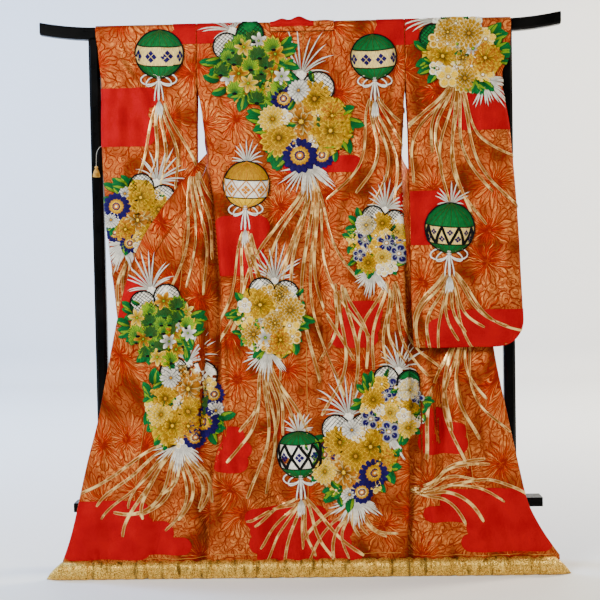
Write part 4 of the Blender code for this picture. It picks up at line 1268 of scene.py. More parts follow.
class Zone(Enum):
    """A part of the garment that is decorated: its panels, and which way it faces."""

    BODY = (("back_left", "back_right"), -1)
    LEFT_FRONT = (("front_left", "okumi_left", "collar_left"), -1)
    RIGHT_FRONT = (("front_right", "okumi_right", "collar_right"), -1)
    LEFT_SLEEVE = (("sleeve_left_back",), -1)
    RIGHT_SLEEVE = (("sleeve_right_back",), -1)
    LEFT_SLEEVE_REAR = (("sleeve_left_front",), 1)
    RIGHT_SLEEVE_REAR = (("sleeve_right_front",), 1)
    LEFT_FRONT_REAR = (("front_left", "okumi_left"), 1)
    RIGHT_FRONT_REAR = (("front_right", "okumi_right"), 1)


@dataclass
class Patch:
    """A small worked surface, drawn in the plane of the hanging cloth.

    plan, lift, edge, stitch and shade are grids: its places, its height over the cloth, 0 in its
    middle and 1 at its rim, the distances along and across its stitches, and how light it is, as painted
    shade.
    """

    thread: Thread
    plan: np.ndarray
    lift: np.ndarray
    edge: np.ndarray
    stitch: np.ndarray
    core: Silk
    rim: Silk
    shade: np.ndarray


def toward(turn: float, reach: float = 1) -> np.ndarray:
    """A step in the plane of the cloth; 0 degrees is along X and 90 is up."""
    return reach * np.array((cos(radians(turn)), sin(radians(turn))))


class Needle:
    """Draws patches: petals, rosettes and strands, and the motifs made of them."""

    def __init__(self, seed: int) -> None:
        self.draw = random.Random(seed)
        self.vary = self.draw.uniform
        self.patches: list[Patch] = []

    def add(
        self, thread: Thread, place: Sequence[Any], lift: Any, edge: Any, stitch: Sequence[Any],
        core: Silk, rim: Silk, shade: Any = 1
    ) -> None:
        """Add a patch from columns, rows or whole grids of numbers."""
        x, z, lift, edge, along, across, shade = np.broadcast_arrays(*place, lift, edge, *stitch, shade)
        plan, stitch = np.stack((x, z), axis=-1), np.stack((along, across), axis=-1)
        self.patches.append(Patch(thread, plan, lift, edge, stitch, core, rim, shade))

    def petal(
        self, base: np.ndarray, turn: float, length: float, width: float, core: Silk, rim: Silk,
        level: float = 0, taper: tuple[float, float] = (0.6, 0.35), bend: float = 0,
        count: tuple[int, int] = (7, 5), ruffle: float = 0, dark: float = 0.22
    ) -> None:
        """A petal, leaf or needle.

        Args:
            base: Where it grows from.
            turn: Its heading.
            length: Its length.
            width: Its greatest width.
            core: Its colour.
            rim: The colour of its edge.
            level: Its height over the cloth.
            taper: How fast it widens from its base and narrows to its tip.
            bend: How far it turns along its length, in degrees.
            count: Points along and across.
            ruffle: How far its tip is scalloped, as a share of its length.
            dark: How light its base is beside its tip; the darker base is painted shade.
        """
        along = np.linspace(0, 1, count[0])[:, None]
        across = np.linspace(-1, 1, count[1])[None, :]
        peak = taper[0] / (taper[0] + taper[1])
        profile = (along / peak) ** taper[0] * ((1 - along) / (1 - peak)) ** taper[1]
        aside = 0.5 * width * np.maximum(profile, 0.05) * across
        reach = length * along * (1 + ruffle * np.cos(9.42 * across) * along ** 3)
        heading = radians(turn) + 0.5 * radians(bend) * along
        side = heading + 0.5 * radians(bend) * along
        x = base[0] + reach * np.cos(heading) - aside * np.sin(side)
        z = base[1] + reach * np.sin(heading) + aside * np.cos(side)
        dome = 0.16 * width * (1 - across ** 2) * np.sqrt(np.sin(np.pi * along).clip(0))
        edge = np.maximum(np.abs(across), along ** 4)
        # The shade, darker toward the base, is painted shade where the petal tucks under its neighbours.
        self.add(
            Thread.SILK, (x, z), level + np.minimum(dome, PETAL_DOME), edge,
            (reach, aside), core, rim, dark + (1 - dark) * along ** 1.1
        )

    def rosette(
        self, centre: np.ndarray, radius: float, core: Silk, rim: Silk, level: float = 0, lobes: int = 0,
        depth: float = 0, rings: int = 4, spokes: int = 24, squash: float = 1
    ) -> None:
        """A round or lobed disc.

        Args:
            centre: Its middle.
            radius: Its greatest radius.
            core: Its colour.
            rim: The colour of its edge.
            level: Its height over the cloth.
            lobes: How many lobes its edge has.
            depth: How deep the edge goes in between them, as a share of the radius.
            rings: Points from its middle to its edge.
            spokes: Points round it.
            squash: Its height as a share of its width.
        """
        turn = np.radians(np.linspace(0, 360, spokes + 1))[None, :]
        share = np.linspace(0.02, 1, rings)[:, None]
        reach = radius * share * (1 - depth * (1 - np.abs(np.sin(0.5 * lobes * turn)) ** 0.6))
        place = centre[0] + reach * np.cos(turn), centre[1] + squash * reach * np.sin(turn)
        lift = level + min(0.12 * radius, PETAL_DOME) * (1 - share ** 2)
        self.add(Thread.SILK, place, lift, share, (reach, radius * turn), core, rim)

    def strand(
        self, path: Sequence[np.ndarray], width: float, core: Silk, rim: Silk, level: float = 0,
        thread: Thread = Thread.SILK
    ) -> None:
        """A cord or ribbon along a path."""
        line = np.asarray(path, dtype=float)
        ahead = unit(np.gradient(line, axis=0))
        across = np.array((-1, 0, 1))
        side = np.stack((-ahead[:, 1], ahead[:, 0]), axis=-1)
        steps = np.linalg.norm(np.diff(line, axis=0), axis=1)
        run = np.concatenate(((0,), np.cumsum(steps)))[:, None]
        wide = 0.5 * width * np.where((run == 0) | (run == run[-1]), 0.62, 1)
        plan = line[:, None, :] + (wide * across[None, :])[..., None] * side[:, None, :]
        edge, stitch = np.abs(across), (self.vary(0, 9) + run, 0.5 * width * across)
        lift = level + 0.1 * width * (1 - edge)
        self.add(thread, np.moveaxis(plan, -1, 0), lift, edge, stitch, core, rim)

    def cloud(self, place: np.ndarray, length: float, height: float, level: float) -> None:
        """One rounded bar of a red cloud."""
        reach = max(length - height, 0.001)
        across = np.linspace(-1, 1, max(int(height / 0.007), 7))[None, :]
        ends = 0.5 * height * np.cos(np.radians(np.linspace(180, 97, 8)))
        run = np.linspace(-0.5 * reach, 0.5 * reach, max(int(reach / 0.007), 2))
        x = np.concatenate((ends - 0.5 * reach, run, -ends[::-1] + 0.5 * reach))[:, None]
        over = np.maximum(np.abs(x) - 0.5 * reach, 0) / (0.5 * height)
        z = 0.5 * height * np.sqrt(np.maximum(1 - over ** 2, 0.003)) * across
        plan, edge = (place[0] + x, place[1] + z), np.maximum(np.abs(across), over)
        self.add(Thread.SATIN, plan, level, edge, plan, RED, RED)

    def fan(
        self, base: np.ndarray, middle: float, spread: float, count: int, length: float, level: float,
        droop: float = 46, wide: float = 0.0085
    ) -> None:
        """White needles that spring from one point, longest in the middle.

        Args:
            base: The point.
            middle: The heading of the middle needle.
            spread: How far the outer ones turn from it.
            count: How many there are.
            length: The length of the longest.
            level: Their height over the cloth.
            droop: How far the outer ones bend on; below 0 they bend back.
            wide: Their width.
        """
        for number in range(count):
            share = 2 * number / (count - 1) - 1
            turn = middle + spread * share + self.vary(-3, 3)
            long = length * (1 - 0.4 * share * share) * self.vary(0.76, 1.05)
            bend = droop * share * self.vary(0.5, 1.1)
            self.petal(
                base, turn, long, wide * self.vary(0.8, 1.15), WHITE, WHITE,
                level + 0.0002 * (number % 3), (0.75, 0.8), bend, (8, 3), 0, 0.34
            )

    def peony(self, centre: np.ndarray, radius: float, core: Silk, rim: Silk, level: float) -> None:
        """A full peony with scalloped petals in four rings."""
        start = self.vary(0, 360)
        for ring, (count, reach) in enumerate(((8, 1), (7, 0.78), (5, 0.56), (4, 0.36))):
            for number in range(count):
                turn = start + 47 * ring + 360 * number / count + self.vary(-8, 8)
                long = (reach - 0.06) * radius * self.vary(0.88, 1.05)
                self.petal(
                    centre + toward(turn, 0.06 * radius), turn, long, long * 1.06, core, rim,
                    level + 0.0005 * ring, (0.8, 0.25), self.vary(-15, 15), (8, 7), 0.12, 0.06
                )
        self.rosette(centre, 0.15 * radius, YELLOW, BROWN, level + 0.0024, 7, 0.3, 3, 14)

    def mum(self, centre: np.ndarray, radius: float, core: Silk, rim: Silk, level: float) -> None:
        """A chrysanthemum: rings of slim spoon petals round a button."""
        for ring, (count, reach) in enumerate(((17, 1), (13, 0.72), (9, 0.46))):
            for number in range(count):
                turn = 360 * (number + 0.5 * ring) / count + self.vary(-3, 3)
                wide = 2 * pi * reach * radius / count * 0.88
                long = (reach - 0.08) * radius * self.vary(0.9, 1.04)
                self.petal(
                    centre + toward(turn, 0.08 * radius), turn, long, wide, core, rim,
                    level + 0.0006 * ring, (0.9, 0.24), 0, (6, 5), 0, 0.1
                )
        self.rosette(centre, 0.16 * radius, GOLD, BROWN, level + 0.0022, 9, 0.2, 3, 18)

    def ringed(self, centre: np.ndarray, radius: float, core: Silk, rim: Silk, level: float) -> None:
        """A round flower of short petals in a wide dark ring, with a pale heart."""
        for number in range(15):
            turn = 24 * number + self.vary(-2, 2)
            base = centre + toward(turn, 0.42 * radius)
            long, wide = 0.58 * radius, 0.36 * radius
            self.petal(base, turn, long, wide, core, core, level, (0.5, 0.3), 0, (5, 5), 0, 0.8)
        self.rosette(centre, 0.56 * radius, rim, GOLD, level + 0.0005, 15, 0.1, 3, 45)
        self.rosette(centre, 0.3 * radius, AMBER, core, level + 0.0012, rings=3, spokes=18)
        self.rosette(centre, 0.12 * radius, WHITE, rim, level + 0.0019, rings=3, spokes=10)

    def plum(self, centre: np.ndarray, radius: float, core: Silk, rim: Silk, level: float) -> None:
        """A plum blossom of five round petals with its stamens."""
        start = self.vary(0, 72)
        for number in range(5):
            spot = centre + toward(start + 72 * number, 0.56 * radius)
            self.rosette(spot, 0.43 * radius, core, rim, level, rings=4, spokes=14)
        for number in range(5):
            turn = start + 72 * number
            path = [centre + toward(turn, radius * reach) for reach in (0.12, 0.32, 0.56)]
            self.strand(path, 0.0016, rim, rim, level + 0.0014)
        self.rosette(centre, 0.19 * radius, WHITE, GOLD, level + 0.0016, rings=3, spokes=10)

    def star(self, centre: np.ndarray, radius: float, core: Silk, rim: Silk, level: float) -> None:
        """A lily of six pointed petals."""
        start = self.vary(0, 60)
        for number in range(6):
            turn = start + 60 * number + self.vary(-6, 6)
            self.petal(centre, turn, radius, 0.5 * radius, core, rim, level, (0.7, 0.7), 12)
        self.rosette(centre, 0.16 * radius, LIME, PINE, level + 0.0014, rings=3, spokes=10)

    def lobe(self, centre: np.ndarray, radius: float, core: Silk, rim: Silk, level: float) -> None:
        """A fan of pine, ribbed with dark needles from a black bud."""
        lean = self.vary(70, 125)
        foot = centre - toward(lean, 0.75 * radius)
        for number in range(7):
            turn = lean + 23 * (number - 3)
            reach = 1.6 * radius * cos(radians(0.72 * (turn - lean)))
            self.petal(foot, turn, reach, 0.74 * radius, core, rim, level, (0.9, 0.2), 0, (4, 5), 0, 0.5)
        for number in range(13):
            turn = lean + 11.5 * (number - 6)
            reach = 1.52 * radius * cos(radians(0.72 * (turn - lean)))
            path = [foot + toward(turn, reach * share) for share in (0.12, 1)]
            self.strand(path, 0.0022, GREEN, PINE, level + 0.0014)
        self.rosette(foot, 0.24 * radius, BLACK, BLACK, level + 0.0018, rings=3, spokes=9, squash=0.6)

    def leaf(self, base: np.ndarray, turn: float, length: float, level: float) -> None:
        """A leaf, dark with a light half and a rib."""
        bend = self.vary(-30, 30)
        wide = 0.52 * length
        self.petal(base, turn, length, wide, GREEN, GREEN, level, (0.6, 0.7), bend)
        way = self.draw.choice((-1, 1))
        start = base + toward(turn + 90 * way, 0.11 * length)
        self.petal(
            start, turn, 0.86 * length, 0.42 * wide, LIME, LIME, level + 0.0006, (0.6, 0.8), bend, (6, 3)
        )

    def net(self, centre: np.ndarray, radius: float, colour: Silk, level: float) -> None:
        """A round cap of cloth under a black net."""
        self.rosette(centre, radius, colour, colour, level, rings=4, spokes=24)
        for lean in (48, -36):
            for off in (-0.84, -0.63, -0.42, -0.21, 0, 0.21, 0.42, 0.63, 0.84):
                half = sqrt(1 - off * off)
                middle = centre + toward(lean + 90, radius * off)
                path = [middle + toward(lean, radius * half * share) for share in (-1, 0, 1)]
                self.strand(path, 0.0022, BLACK, BLACK, level + 0.0012)
        ring = [centre + toward(turn, radius) for turn in range(0, 361, 20)]
        self.strand(ring, 0.0046, BLACK, BLACK, level + 0.0013)

    def ribbon(
        self, start: np.ndarray, turn: float, length: float, width: float, curl: float, sway: float,
        level: float
    ) -> None:
        """A strip of gold leaf that runs down and drifts aside.

        Args:
            start: Where it leaves its knot.
            turn: Its first heading.
            length: Its length.
            width: Its width.
            curl: How far it turns over its length, in degrees.
            sway: How far it swings in one wave, in degrees.
            level: Its height over the cloth.
        """
        steps = max(int(length / 0.01), 8)
        share = np.linspace(0, 1, steps + 1)
        heading = np.radians(turn + curl * share * share + sway * np.sin(5.6 * share))
        moves = np.stack((np.cos(heading), np.sin(heading)), axis=-1) * length / steps
        path = start + np.concatenate((np.zeros((1, 2)), np.cumsum(moves, axis=0)[:-1]))
        self.strand(path, width, CREAM, GOLD, level, Thread.LEAF)


# ---- motifs

class Bouquet(Enum):
    """What fills a flower ball: kind, size as a share of the ball, core, rim and how many."""

    PEONIES = """
        peony .56 AMBER CREAM 1, peony .48 GOLD YELLOW 1, ringed .38 NAVY YELLOW 1,
        mum .42 GOLD YELLOW 2, ringed .28 NAVY CREAM 2, mum .32 YELLOW CREAM 1, peony .36 AMBER YELLOW 1,
        mum .26 WHITE SILVER 2, plum .2 CREAM WHITE 2, plum .18 YELLOW CREAM 2
    """
    MEADOW = """
        lobe .25 LIME YELLOW 6, lobe .24 PINE LIME 7, star .27 AMBER YELLOW 4, star .25 YELLOW CREAM 3,
        star .23 WHITE WHITE 3, lobe .2 LIME GREEN 4
    """
    BLOSSOM = """
        mum .38 GOLD YELLOW 2, plum .32 NAVY SILVER 3, mum .32 YELLOW CREAM 2, peony .32 CREAM WHITE 1,
        plum .26 GOLD YELLOW 4, plum .24 CREAM WHITE 4, plum .22 NAVY SILVER 2, plum .2 YELLOW CREAM 3
    """
    HARVEST = """
        peony .5 GOLD YELLOW 1, peony .44 AMBER YELLOW 1, mum .4 GOLD CREAM 2, peony .34 GOLD CREAM 2,
        plum .3 YELLOW CREAM 3, star .28 WHITE WHITE 2, plum .24 GOLD CREAM 4, plum .22 CREAM WHITE 3
    """


@dataclass(frozen=True)
class FlowerBall:
    """A ball of flowers with a tuft of white needles on top and a tassel below."""

    x: float
    z: float
    radius: float
    bouquet: Bouquet
    zones: tuple[Zone, ...]
    tuft_turn: float = 90.0
    tassel: bool = True

    def work(self, needle: Needle) -> None:
        """Draw the ball."""
        centre, size, up = np.array((self.x, self.z)), self.radius, self.tuft_turn
        top = centre + toward(up, 0.94 * size)
        foot = centre + toward(up + 180, 0.88 * size)
        needle.fan(top, up, 54, 13, 1.1 * size, 0.0012, 66, 0.0056)
        needle.rosette(top, 0.13 * size, WHITE, WHITE, 0.0016, 7, 0.2, 3, 21)
        if self.tassel:
            for way in (-1, 1):
                needle.fan(foot, up + 180 + 44 * way, 24, 10, 0.8 * size, 0.0024, -way * 34, 0.006)
            needle.fan(foot, up + 180, 24, 13, 0.86 * size, 0.0022, -14, 0.0052)
        for lean in (-27, 25):
            cap = centre + toward(up + lean, 0.74 * size)
            tone = GREEN if needle.draw.random() < 0.3 else WHITE
            needle.net(cap, 0.34 * size, tone, 0.0023)
        for middle, half, count in ((up + 78, 30, 7), (up + 152, 26, 7), (up - 118, 34, 8)):
            for number in range(count):
                turn = middle + half * needle.vary(-1, 1)
                base = centre + toward(turn, size * needle.vary(0.6, 0.88))
                lean = needle.vary(-60, 60)
                needle.leaf(base, turn + lean, 0.42 * size, 0.0026 + 0.0003 * (number % 3))
        needle.rosette(centre - toward(up, 0.05 * size), 0.78 * size, PINE, PINE, 0.0018, 9, 0.08, 5, 36)
        placed: list[tuple[np.ndarray, float]] = []
        rows = (row.split() for row in self.bouquet.value.split(","))
        flowers = [row for row in rows for _ in range(int(row[4]))]
        for number, (kind, share, core, rim, _) in enumerate(flowers):
            radius = float(share) * size
            best, room = centre, -9
            for _ in range(60):
                turn = needle.vary(0, 360)
                reach = (size - 0.92 * radius) * sqrt(needle.draw.random())
                spot = centre + toward(turn, reach) - toward(up, 0.1 * size)
                gap = min(
                    (float(np.linalg.norm(spot - other)) / (radius + far) for other, far in placed),
                    default=1
                )
                if gap > room:
                    best, room = spot, gap
            placed.append((best, radius))
            level = 0.0026 + 0.0004 * ((number * 2) % 5)
            getattr(needle, kind)(best, radius, Silk[core], Silk[rim], level)
            if number % 2 == 1:
                turn = needle.vary(0, 360)
                needle.leaf(best + toward(turn, 0.8 * radius), turn, 0.28 * size, level - 0.0003)


class BallStyle(Enum):
    """Hand balls: colours of top, band, foot and figure, and the band's latitudes."""

    BANDED = (GREEN, CREAM, GREEN, NAVY, -24, 22)
    GOLDEN = (GOLD, WHITE, YELLOW, AMBER, -30, 16)
    ZIGZAG = (GREEN, CREAM, GREEN, NAVY, -36, 8)
    CHECKED = (GREEN, WHITE, GREEN, NAVY, -34, 30)


@dataclass(frozen=True)
class HandBall:
    """A thread-wound hand ball hung from a bow, with cords below."""

    x: float
    z: float
    radius: float
    style: BallStyle
    zones: tuple[Zone, ...]
    tilt: float = 0.0
    tufted: bool = False

    def spot(self, across: Any, up: Any) -> np.ndarray:
        """Places on the ball from its longitude and latitude, in degrees."""
        lon, lat = np.radians(across), np.radians(up)
        east = np.sin(lon) * np.cos(lat)
        north = np.sin(lat) - 0.12 * np.cos(lon) * np.cos(lat)
        lean = radians(self.tilt)
        x = self.x + self.radius * (east * cos(lean) - north * sin(lean))
        z = self.z + self.radius * (east * sin(lean) + north * cos(lean))
        return np.stack((x, z), axis=-1)

    def tile(
        self, needle: Needle, corners: Sequence[tuple[float, float]], colour: Silk, level: float
    ) -> None:
        """A four-cornered figure on the ball, its corners given as longitude and latitude."""
        steps = max(int(abs(corners[1][0] - corners[0][0]) / 12), 2)
        u, v = np.linspace(0, 1, steps + 1)[:, None], np.linspace(0, 1, 5)[None, :]
        weights = ((1 - u) * (1 - v), u * (1 - v), u * v, (1 - u) * v)
        lon, lat = (sum(w * p[axis] for w, p in zip(weights, corners)) for axis in (0, 1))
        swell = np.cos(np.radians(lon)) * np.cos(np.radians(lat))
        lift, stitch = level + 0.0009 + 0.0024 * swell, [a * self.radius * pi / 180 for a in (lat, lon)]
        place = np.moveaxis(self.spot(lon, lat), -1, 0)
        # The shade is painted shading of the ball: light where it bulges most and darker toward its rim.
        needle.add(Thread.SILK, place, lift, 0, stitch, colour, colour, 0.45 + 0.62 * swell)

    def line(
        self, needle: Needle, start: tuple[float, float], end: tuple[float, float], colour: Silk,
        width: float = 0.0016
    ) -> None:
        """A thread laid over the ball between two places."""
        share = np.linspace(0, 1, 9)
        path = self.spot(*(a + (b - a) * share for a, b in zip(start, end)))
        needle.strand(path, width, colour, colour, 0.0053)

    def quatrefoil(self, needle: Needle, lon: float, lat: float, reach: float, colour: Silk) -> None:
        """Four diamonds set in a cross."""
        for east, north in ((1, 0), (0, 1), (-1, 0), (0, -1)):
            x, y = lon + 0.58 * reach * east, lat + 0.58 * reach * north
            half = 0.5 * reach
            self.tile(needle, ((x - half, y), (x, y - half), (x + half, y), (x, y + half)), colour, 0.002)

    def work(self, needle: Needle) -> None:
        """Draw the ball, its bow and the head of its cords."""
        upper, band, lower, colour, low, high = self.style.value
        if self.tufted:
            needle.fan(self.spot(0, 70), 90, 56, 11, 1.1 * self.radius, 0.001, 60, 0.0056)
        for bottom, top, tone in ((-88, low, lower), (low, high, band), (high, 88, upper)):
            self.tile(needle, ((-89, bottom), (89, bottom), (89, top), (-89, top)), tone, 0.0012)
        ribs = AMBER if self.style is BallStyle.GOLDEN else PINE
        for lon in (-66, -44, -22, 0, 22, 44, 66):
            self.line(needle, (0.2 * lon, 84), (lon, high), ribs)
            self.line(needle, (lon, low), (0.2 * lon, -84), ribs)
        middle = 0.5 * (low + high)
        for lon in (-60, -20, 20, 60):
            if self.style is BallStyle.BANDED:
                self.quatrefoil(needle, lon, middle, 14, colour)
            elif self.style is BallStyle.ZIGZAG:
                self.line(needle, (lon - 20, low), (lon, high), BLACK, 0.0085)
                self.line(needle, (lon, high), (lon + 20, low), BLACK, 0.0085)
                self.quatrefoil(needle, lon, low + 15, 8, colour)
                self.quatrefoil(needle, lon + 20, high - 13, 7, colour)
            else:
                checked = self.style is BallStyle.CHECKED
                thick, tone = (0.0085, BLACK) if checked else (0.0034, AMBER)
                self.line(needle, (lon - 20, low), (lon + 20, high), tone, thick)
                self.line(needle, (lon - 20, high), (lon + 20, low), tone, thick)
                self.quatrefoil(needle, lon + 20, middle, 11, colour)
        for lat in (low, high):
            self.line(needle, (-88, lat), (88, lat), BLACK, 0.0032)
        rim = [self.spot(90 * way, way * float(lat)) for way in (1, -1) for lat in range(-88, 89, 8)]
        needle.strand([*rim, rim[0]], 0.0042, BLACK, BLACK, 0.0036)
        self.bow(needle, self.spot(0, -89))

    def bow(self, needle: Needle, knot: np.ndarray) -> None:
        """White cord tied in loops under the ball."""
        size = 0.62 * self.radius
        for side in (-1, 1):
            for drop, reach, wide in ((-0.1, 1.2, 0.36), (-0.46, 0.85, 0.28)):
                turn = np.linspace(0, 2 * pi, 15)
                out = 0.5 * (1 - np.cos(turn)) * reach
                loop = np.stack((side * out, drop * out + wide * np.sin(turn)), axis=-1)
                needle.strand(knot + size * loop, 0.0052, WHITE, SILVER, 0.0026)
            t = np.linspace(0, 1, 8)
            tail = np.stack((side * 0.25 * t * (2.2 - t), -1.5 * t), axis=-1)
            needle.strand(knot + size * tail, 0.0046, WHITE, SILVER, 0.002)
        needle.rosette(knot, 0.0085, WHITE, SILVER, 0.0034, rings=3, spokes=12)
        cord = [knot - np.array((0, 1.5 * size * t)) for t in np.linspace(0, 1, 8)]
        needle.strand(cord, 0.0085, WHITE, SILVER, 0.003)
        needle.fan(cord[-1], -90, 24, 11, 0.85 * self.radius, 0.0022, -10, 0.0062)


@dataclass(frozen=True)
class Sheaf:
    """Ribbons of gold leaf that fall from a knot and sweep aside."""

    x: float
    z: float
    count: int
    length: float
    spread: float
    lean: float
    curl: float
    zones: tuple[Zone, ...]

    def work(self, needle: Needle) -> None:
        """Draw the ribbons."""
        swing = needle.draw.choice((-1, 1)) * needle.vary(12, 20)
        for number in range(int(self.count)):
            share = 2 * number / max(self.count - 1, 1) - 1
            turn = -90 + self.lean + self.spread * share + needle.vary(-3, 3)
            long = self.length * needle.vary(0.55, 1.1)
            curl = self.curl * needle.vary(0.5, 1.3) + 10 * share
            start = np.array((self.x + 0.014 * share, self.z + needle.vary(0, 0.03)))
            wide, sway = needle.vary(0.0075, 0.0105), swing * needle.vary(0.6, 1.3)
            needle.ribbon(start, turn, long, wide, curl, sway, 0.0011 + 0.00014 * (number % 6))


@dataclass(frozen=True)
class Cloud:
    """A red cloud of rounded bars, one above the other."""

    x: float
    z: float
    length: float
    bars: int
    zones: tuple[Zone, ...]

    def work(self, needle: Needle) -> None:
        """Draw the bars."""
        for number in range(int(self.bars)):
            tall = CLOUD_BAR * needle.vary(0.95, 1.6)
            long = self.length * needle.vary(0.62, 1)
            aside = needle.vary(-0.5, 0.5) * (self.length - long) * 1.3
            rise = (number - 0.5 * (self.bars - 1)) * 0.8 * CLOUD_BAR
            place = np.array((self.x + aside, self.z + rise))
            needle.cloud(place, long, tall, 0.0006 + 0.00006 * number)


# ---- where the motifs stand

OPTIONS = {option.name: option for kind in (Zone, Bouquet, BallStyle) for option in kind}
FLOWER_BALLS = table(FlowerBall, """
-.158 1.64 .132 MEADOW BODY 118 0, .012 1.452 .156 PEONIES BODY 93, -.104 .822 .12 HARVEST BODY 84,
.246 1.058 .108 BLOSSOM BODY 78, .148 .372 .136 PEONIES BODY 94,
.282 .538 .114 BLOSSOM BODY+RIGHT_FRONT 80, -.526 1.16 .122 PEONIES LEFT_SLEEVE 62,
.524 1.668 .134 HARVEST RIGHT_SLEEVE 128, -.456 .802 .122 MEADOW LEFT_FRONT 106 0,
-.384 .552 .137 PEONIES LEFT_FRONT+BODY 84, -.48 1.42 .118 BLOSSOM LEFT_SLEEVE_REAR 88,
.505 1.25 .13 PEONIES RIGHT_SLEEVE_REAR 94, .5 .52 .11 HARVEST RIGHT_FRONT_REAR 90,
-.21 1.56 .11 HARVEST LEFT_FRONT_REAR 90, .225 1.52 .11 MEADOW RIGHT_FRONT_REAR 90
""")
HAND_BALLS = table(HandBall, """
.24 1.655 .074 BANDED BODY 2, -.178 1.248 .075 GOLDEN BODY -3 1, -.02 .384 .073 CHECKED BODY 2 1,
-.456 1.68 .079 BANDED LEFT_SLEEVE -2, .474 1.096 .08 ZIGZAG RIGHT_SLEEVE -4 1,
-.47 1.02 .076 ZIGZAG LEFT_SLEEVE_REAR 3 1, .5 1.6 .074 GOLDEN RIGHT_SLEEVE_REAR 2
""")
CLOUDS = table(Cloud, """
-.585 1.478 .26 4 LEFT_SLEEVE, -.311 1.757 .24 2 LEFT_SLEEVE+BODY, .318 1.752 .15 2 BODY+RIGHT_SLEEVE,
.615 1.478 .26 3 RIGHT_SLEEVE, .42 1.13 .24 4 RIGHT_SLEEVE+BODY, .56 .77 .42 3 RIGHT_SLEEVE,
-.222 1.052 .25 4 BODY, -.112 1.44 .11 2 BODY, .07 1.33 .26 2 BODY, .185 .79 .2 3 BODY,
-.245 .4 .15 3 BODY, -.03 .125 .4 4 BODY, -.65 .15 .33 4 LEFT_FRONT, -.48 .12 .24 2 LEFT_FRONT,
-.56 .88 .18 3 LEFT_FRONT, .59 .19 .44 3 RIGHT_FRONT, .64 .12 .36 2 RIGHT_FRONT,
.43 .45 .17 3 RIGHT_FRONT+BODY, -.56 1.24 .26 3 LEFT_SLEEVE_REAR, .56 .98 .26 4 RIGHT_SLEEVE_REAR,
.56 .2 .4 4 RIGHT_FRONT_REAR, -.54 .24 .36 4 LEFT_FRONT_REAR
""")
SHEAVES = table(Sheaf, """
.035 1.24 10 .7 24 0 0 BODY, -.178 1.08 7 .46 14 -4 10 BODY, .24 1.5 6 .34 22 2 0 BODY,
-.12 .66 8 .42 20 -4 10 BODY, .28 .9 6 .36 20 4 10 BODY+RIGHT_FRONT, .12 .9 4 .4 12 0 -10 BODY,
.145 .21 8 .2 50 0 10 BODY, -.018 .22 9 .24 55 -8 -20 BODY, -.455 1.51 5 .4 18 -4 0 LEFT_SLEEVE,
-.56 1.02 7 .3 20 0 10 LEFT_SLEEVE, .5 1.55 11 .44 32 -4 10 RIGHT_SLEEVE,
.47 .93 10 .34 40 6 20 RIGHT_SLEEVE, -.4 .4 8 .32 30 4 -50 LEFT_FRONT+BODY,
-.41 .4 6 .46 12 -68 84 LEFT_FRONT, -.345 1.27 5 .4 10 2 6 LEFT_FRONT, .51 .78 6 .46 16 4 0 RIGHT_FRONT,
.345 .25 7 .36 26 96 -30 RIGHT_FRONT, -.48 1.29 8 .24 24 0 0 LEFT_SLEEVE_REAR,
.505 1.1 10 .34 28 0 10 RIGHT_SLEEVE_REAR, .5 .4 10 .3 34 0 20 RIGHT_FRONT_REAR,
-.5 .5 10 .4 30 0 -20 LEFT_FRONT_REAR
""")


# ---- laying it on the cloth

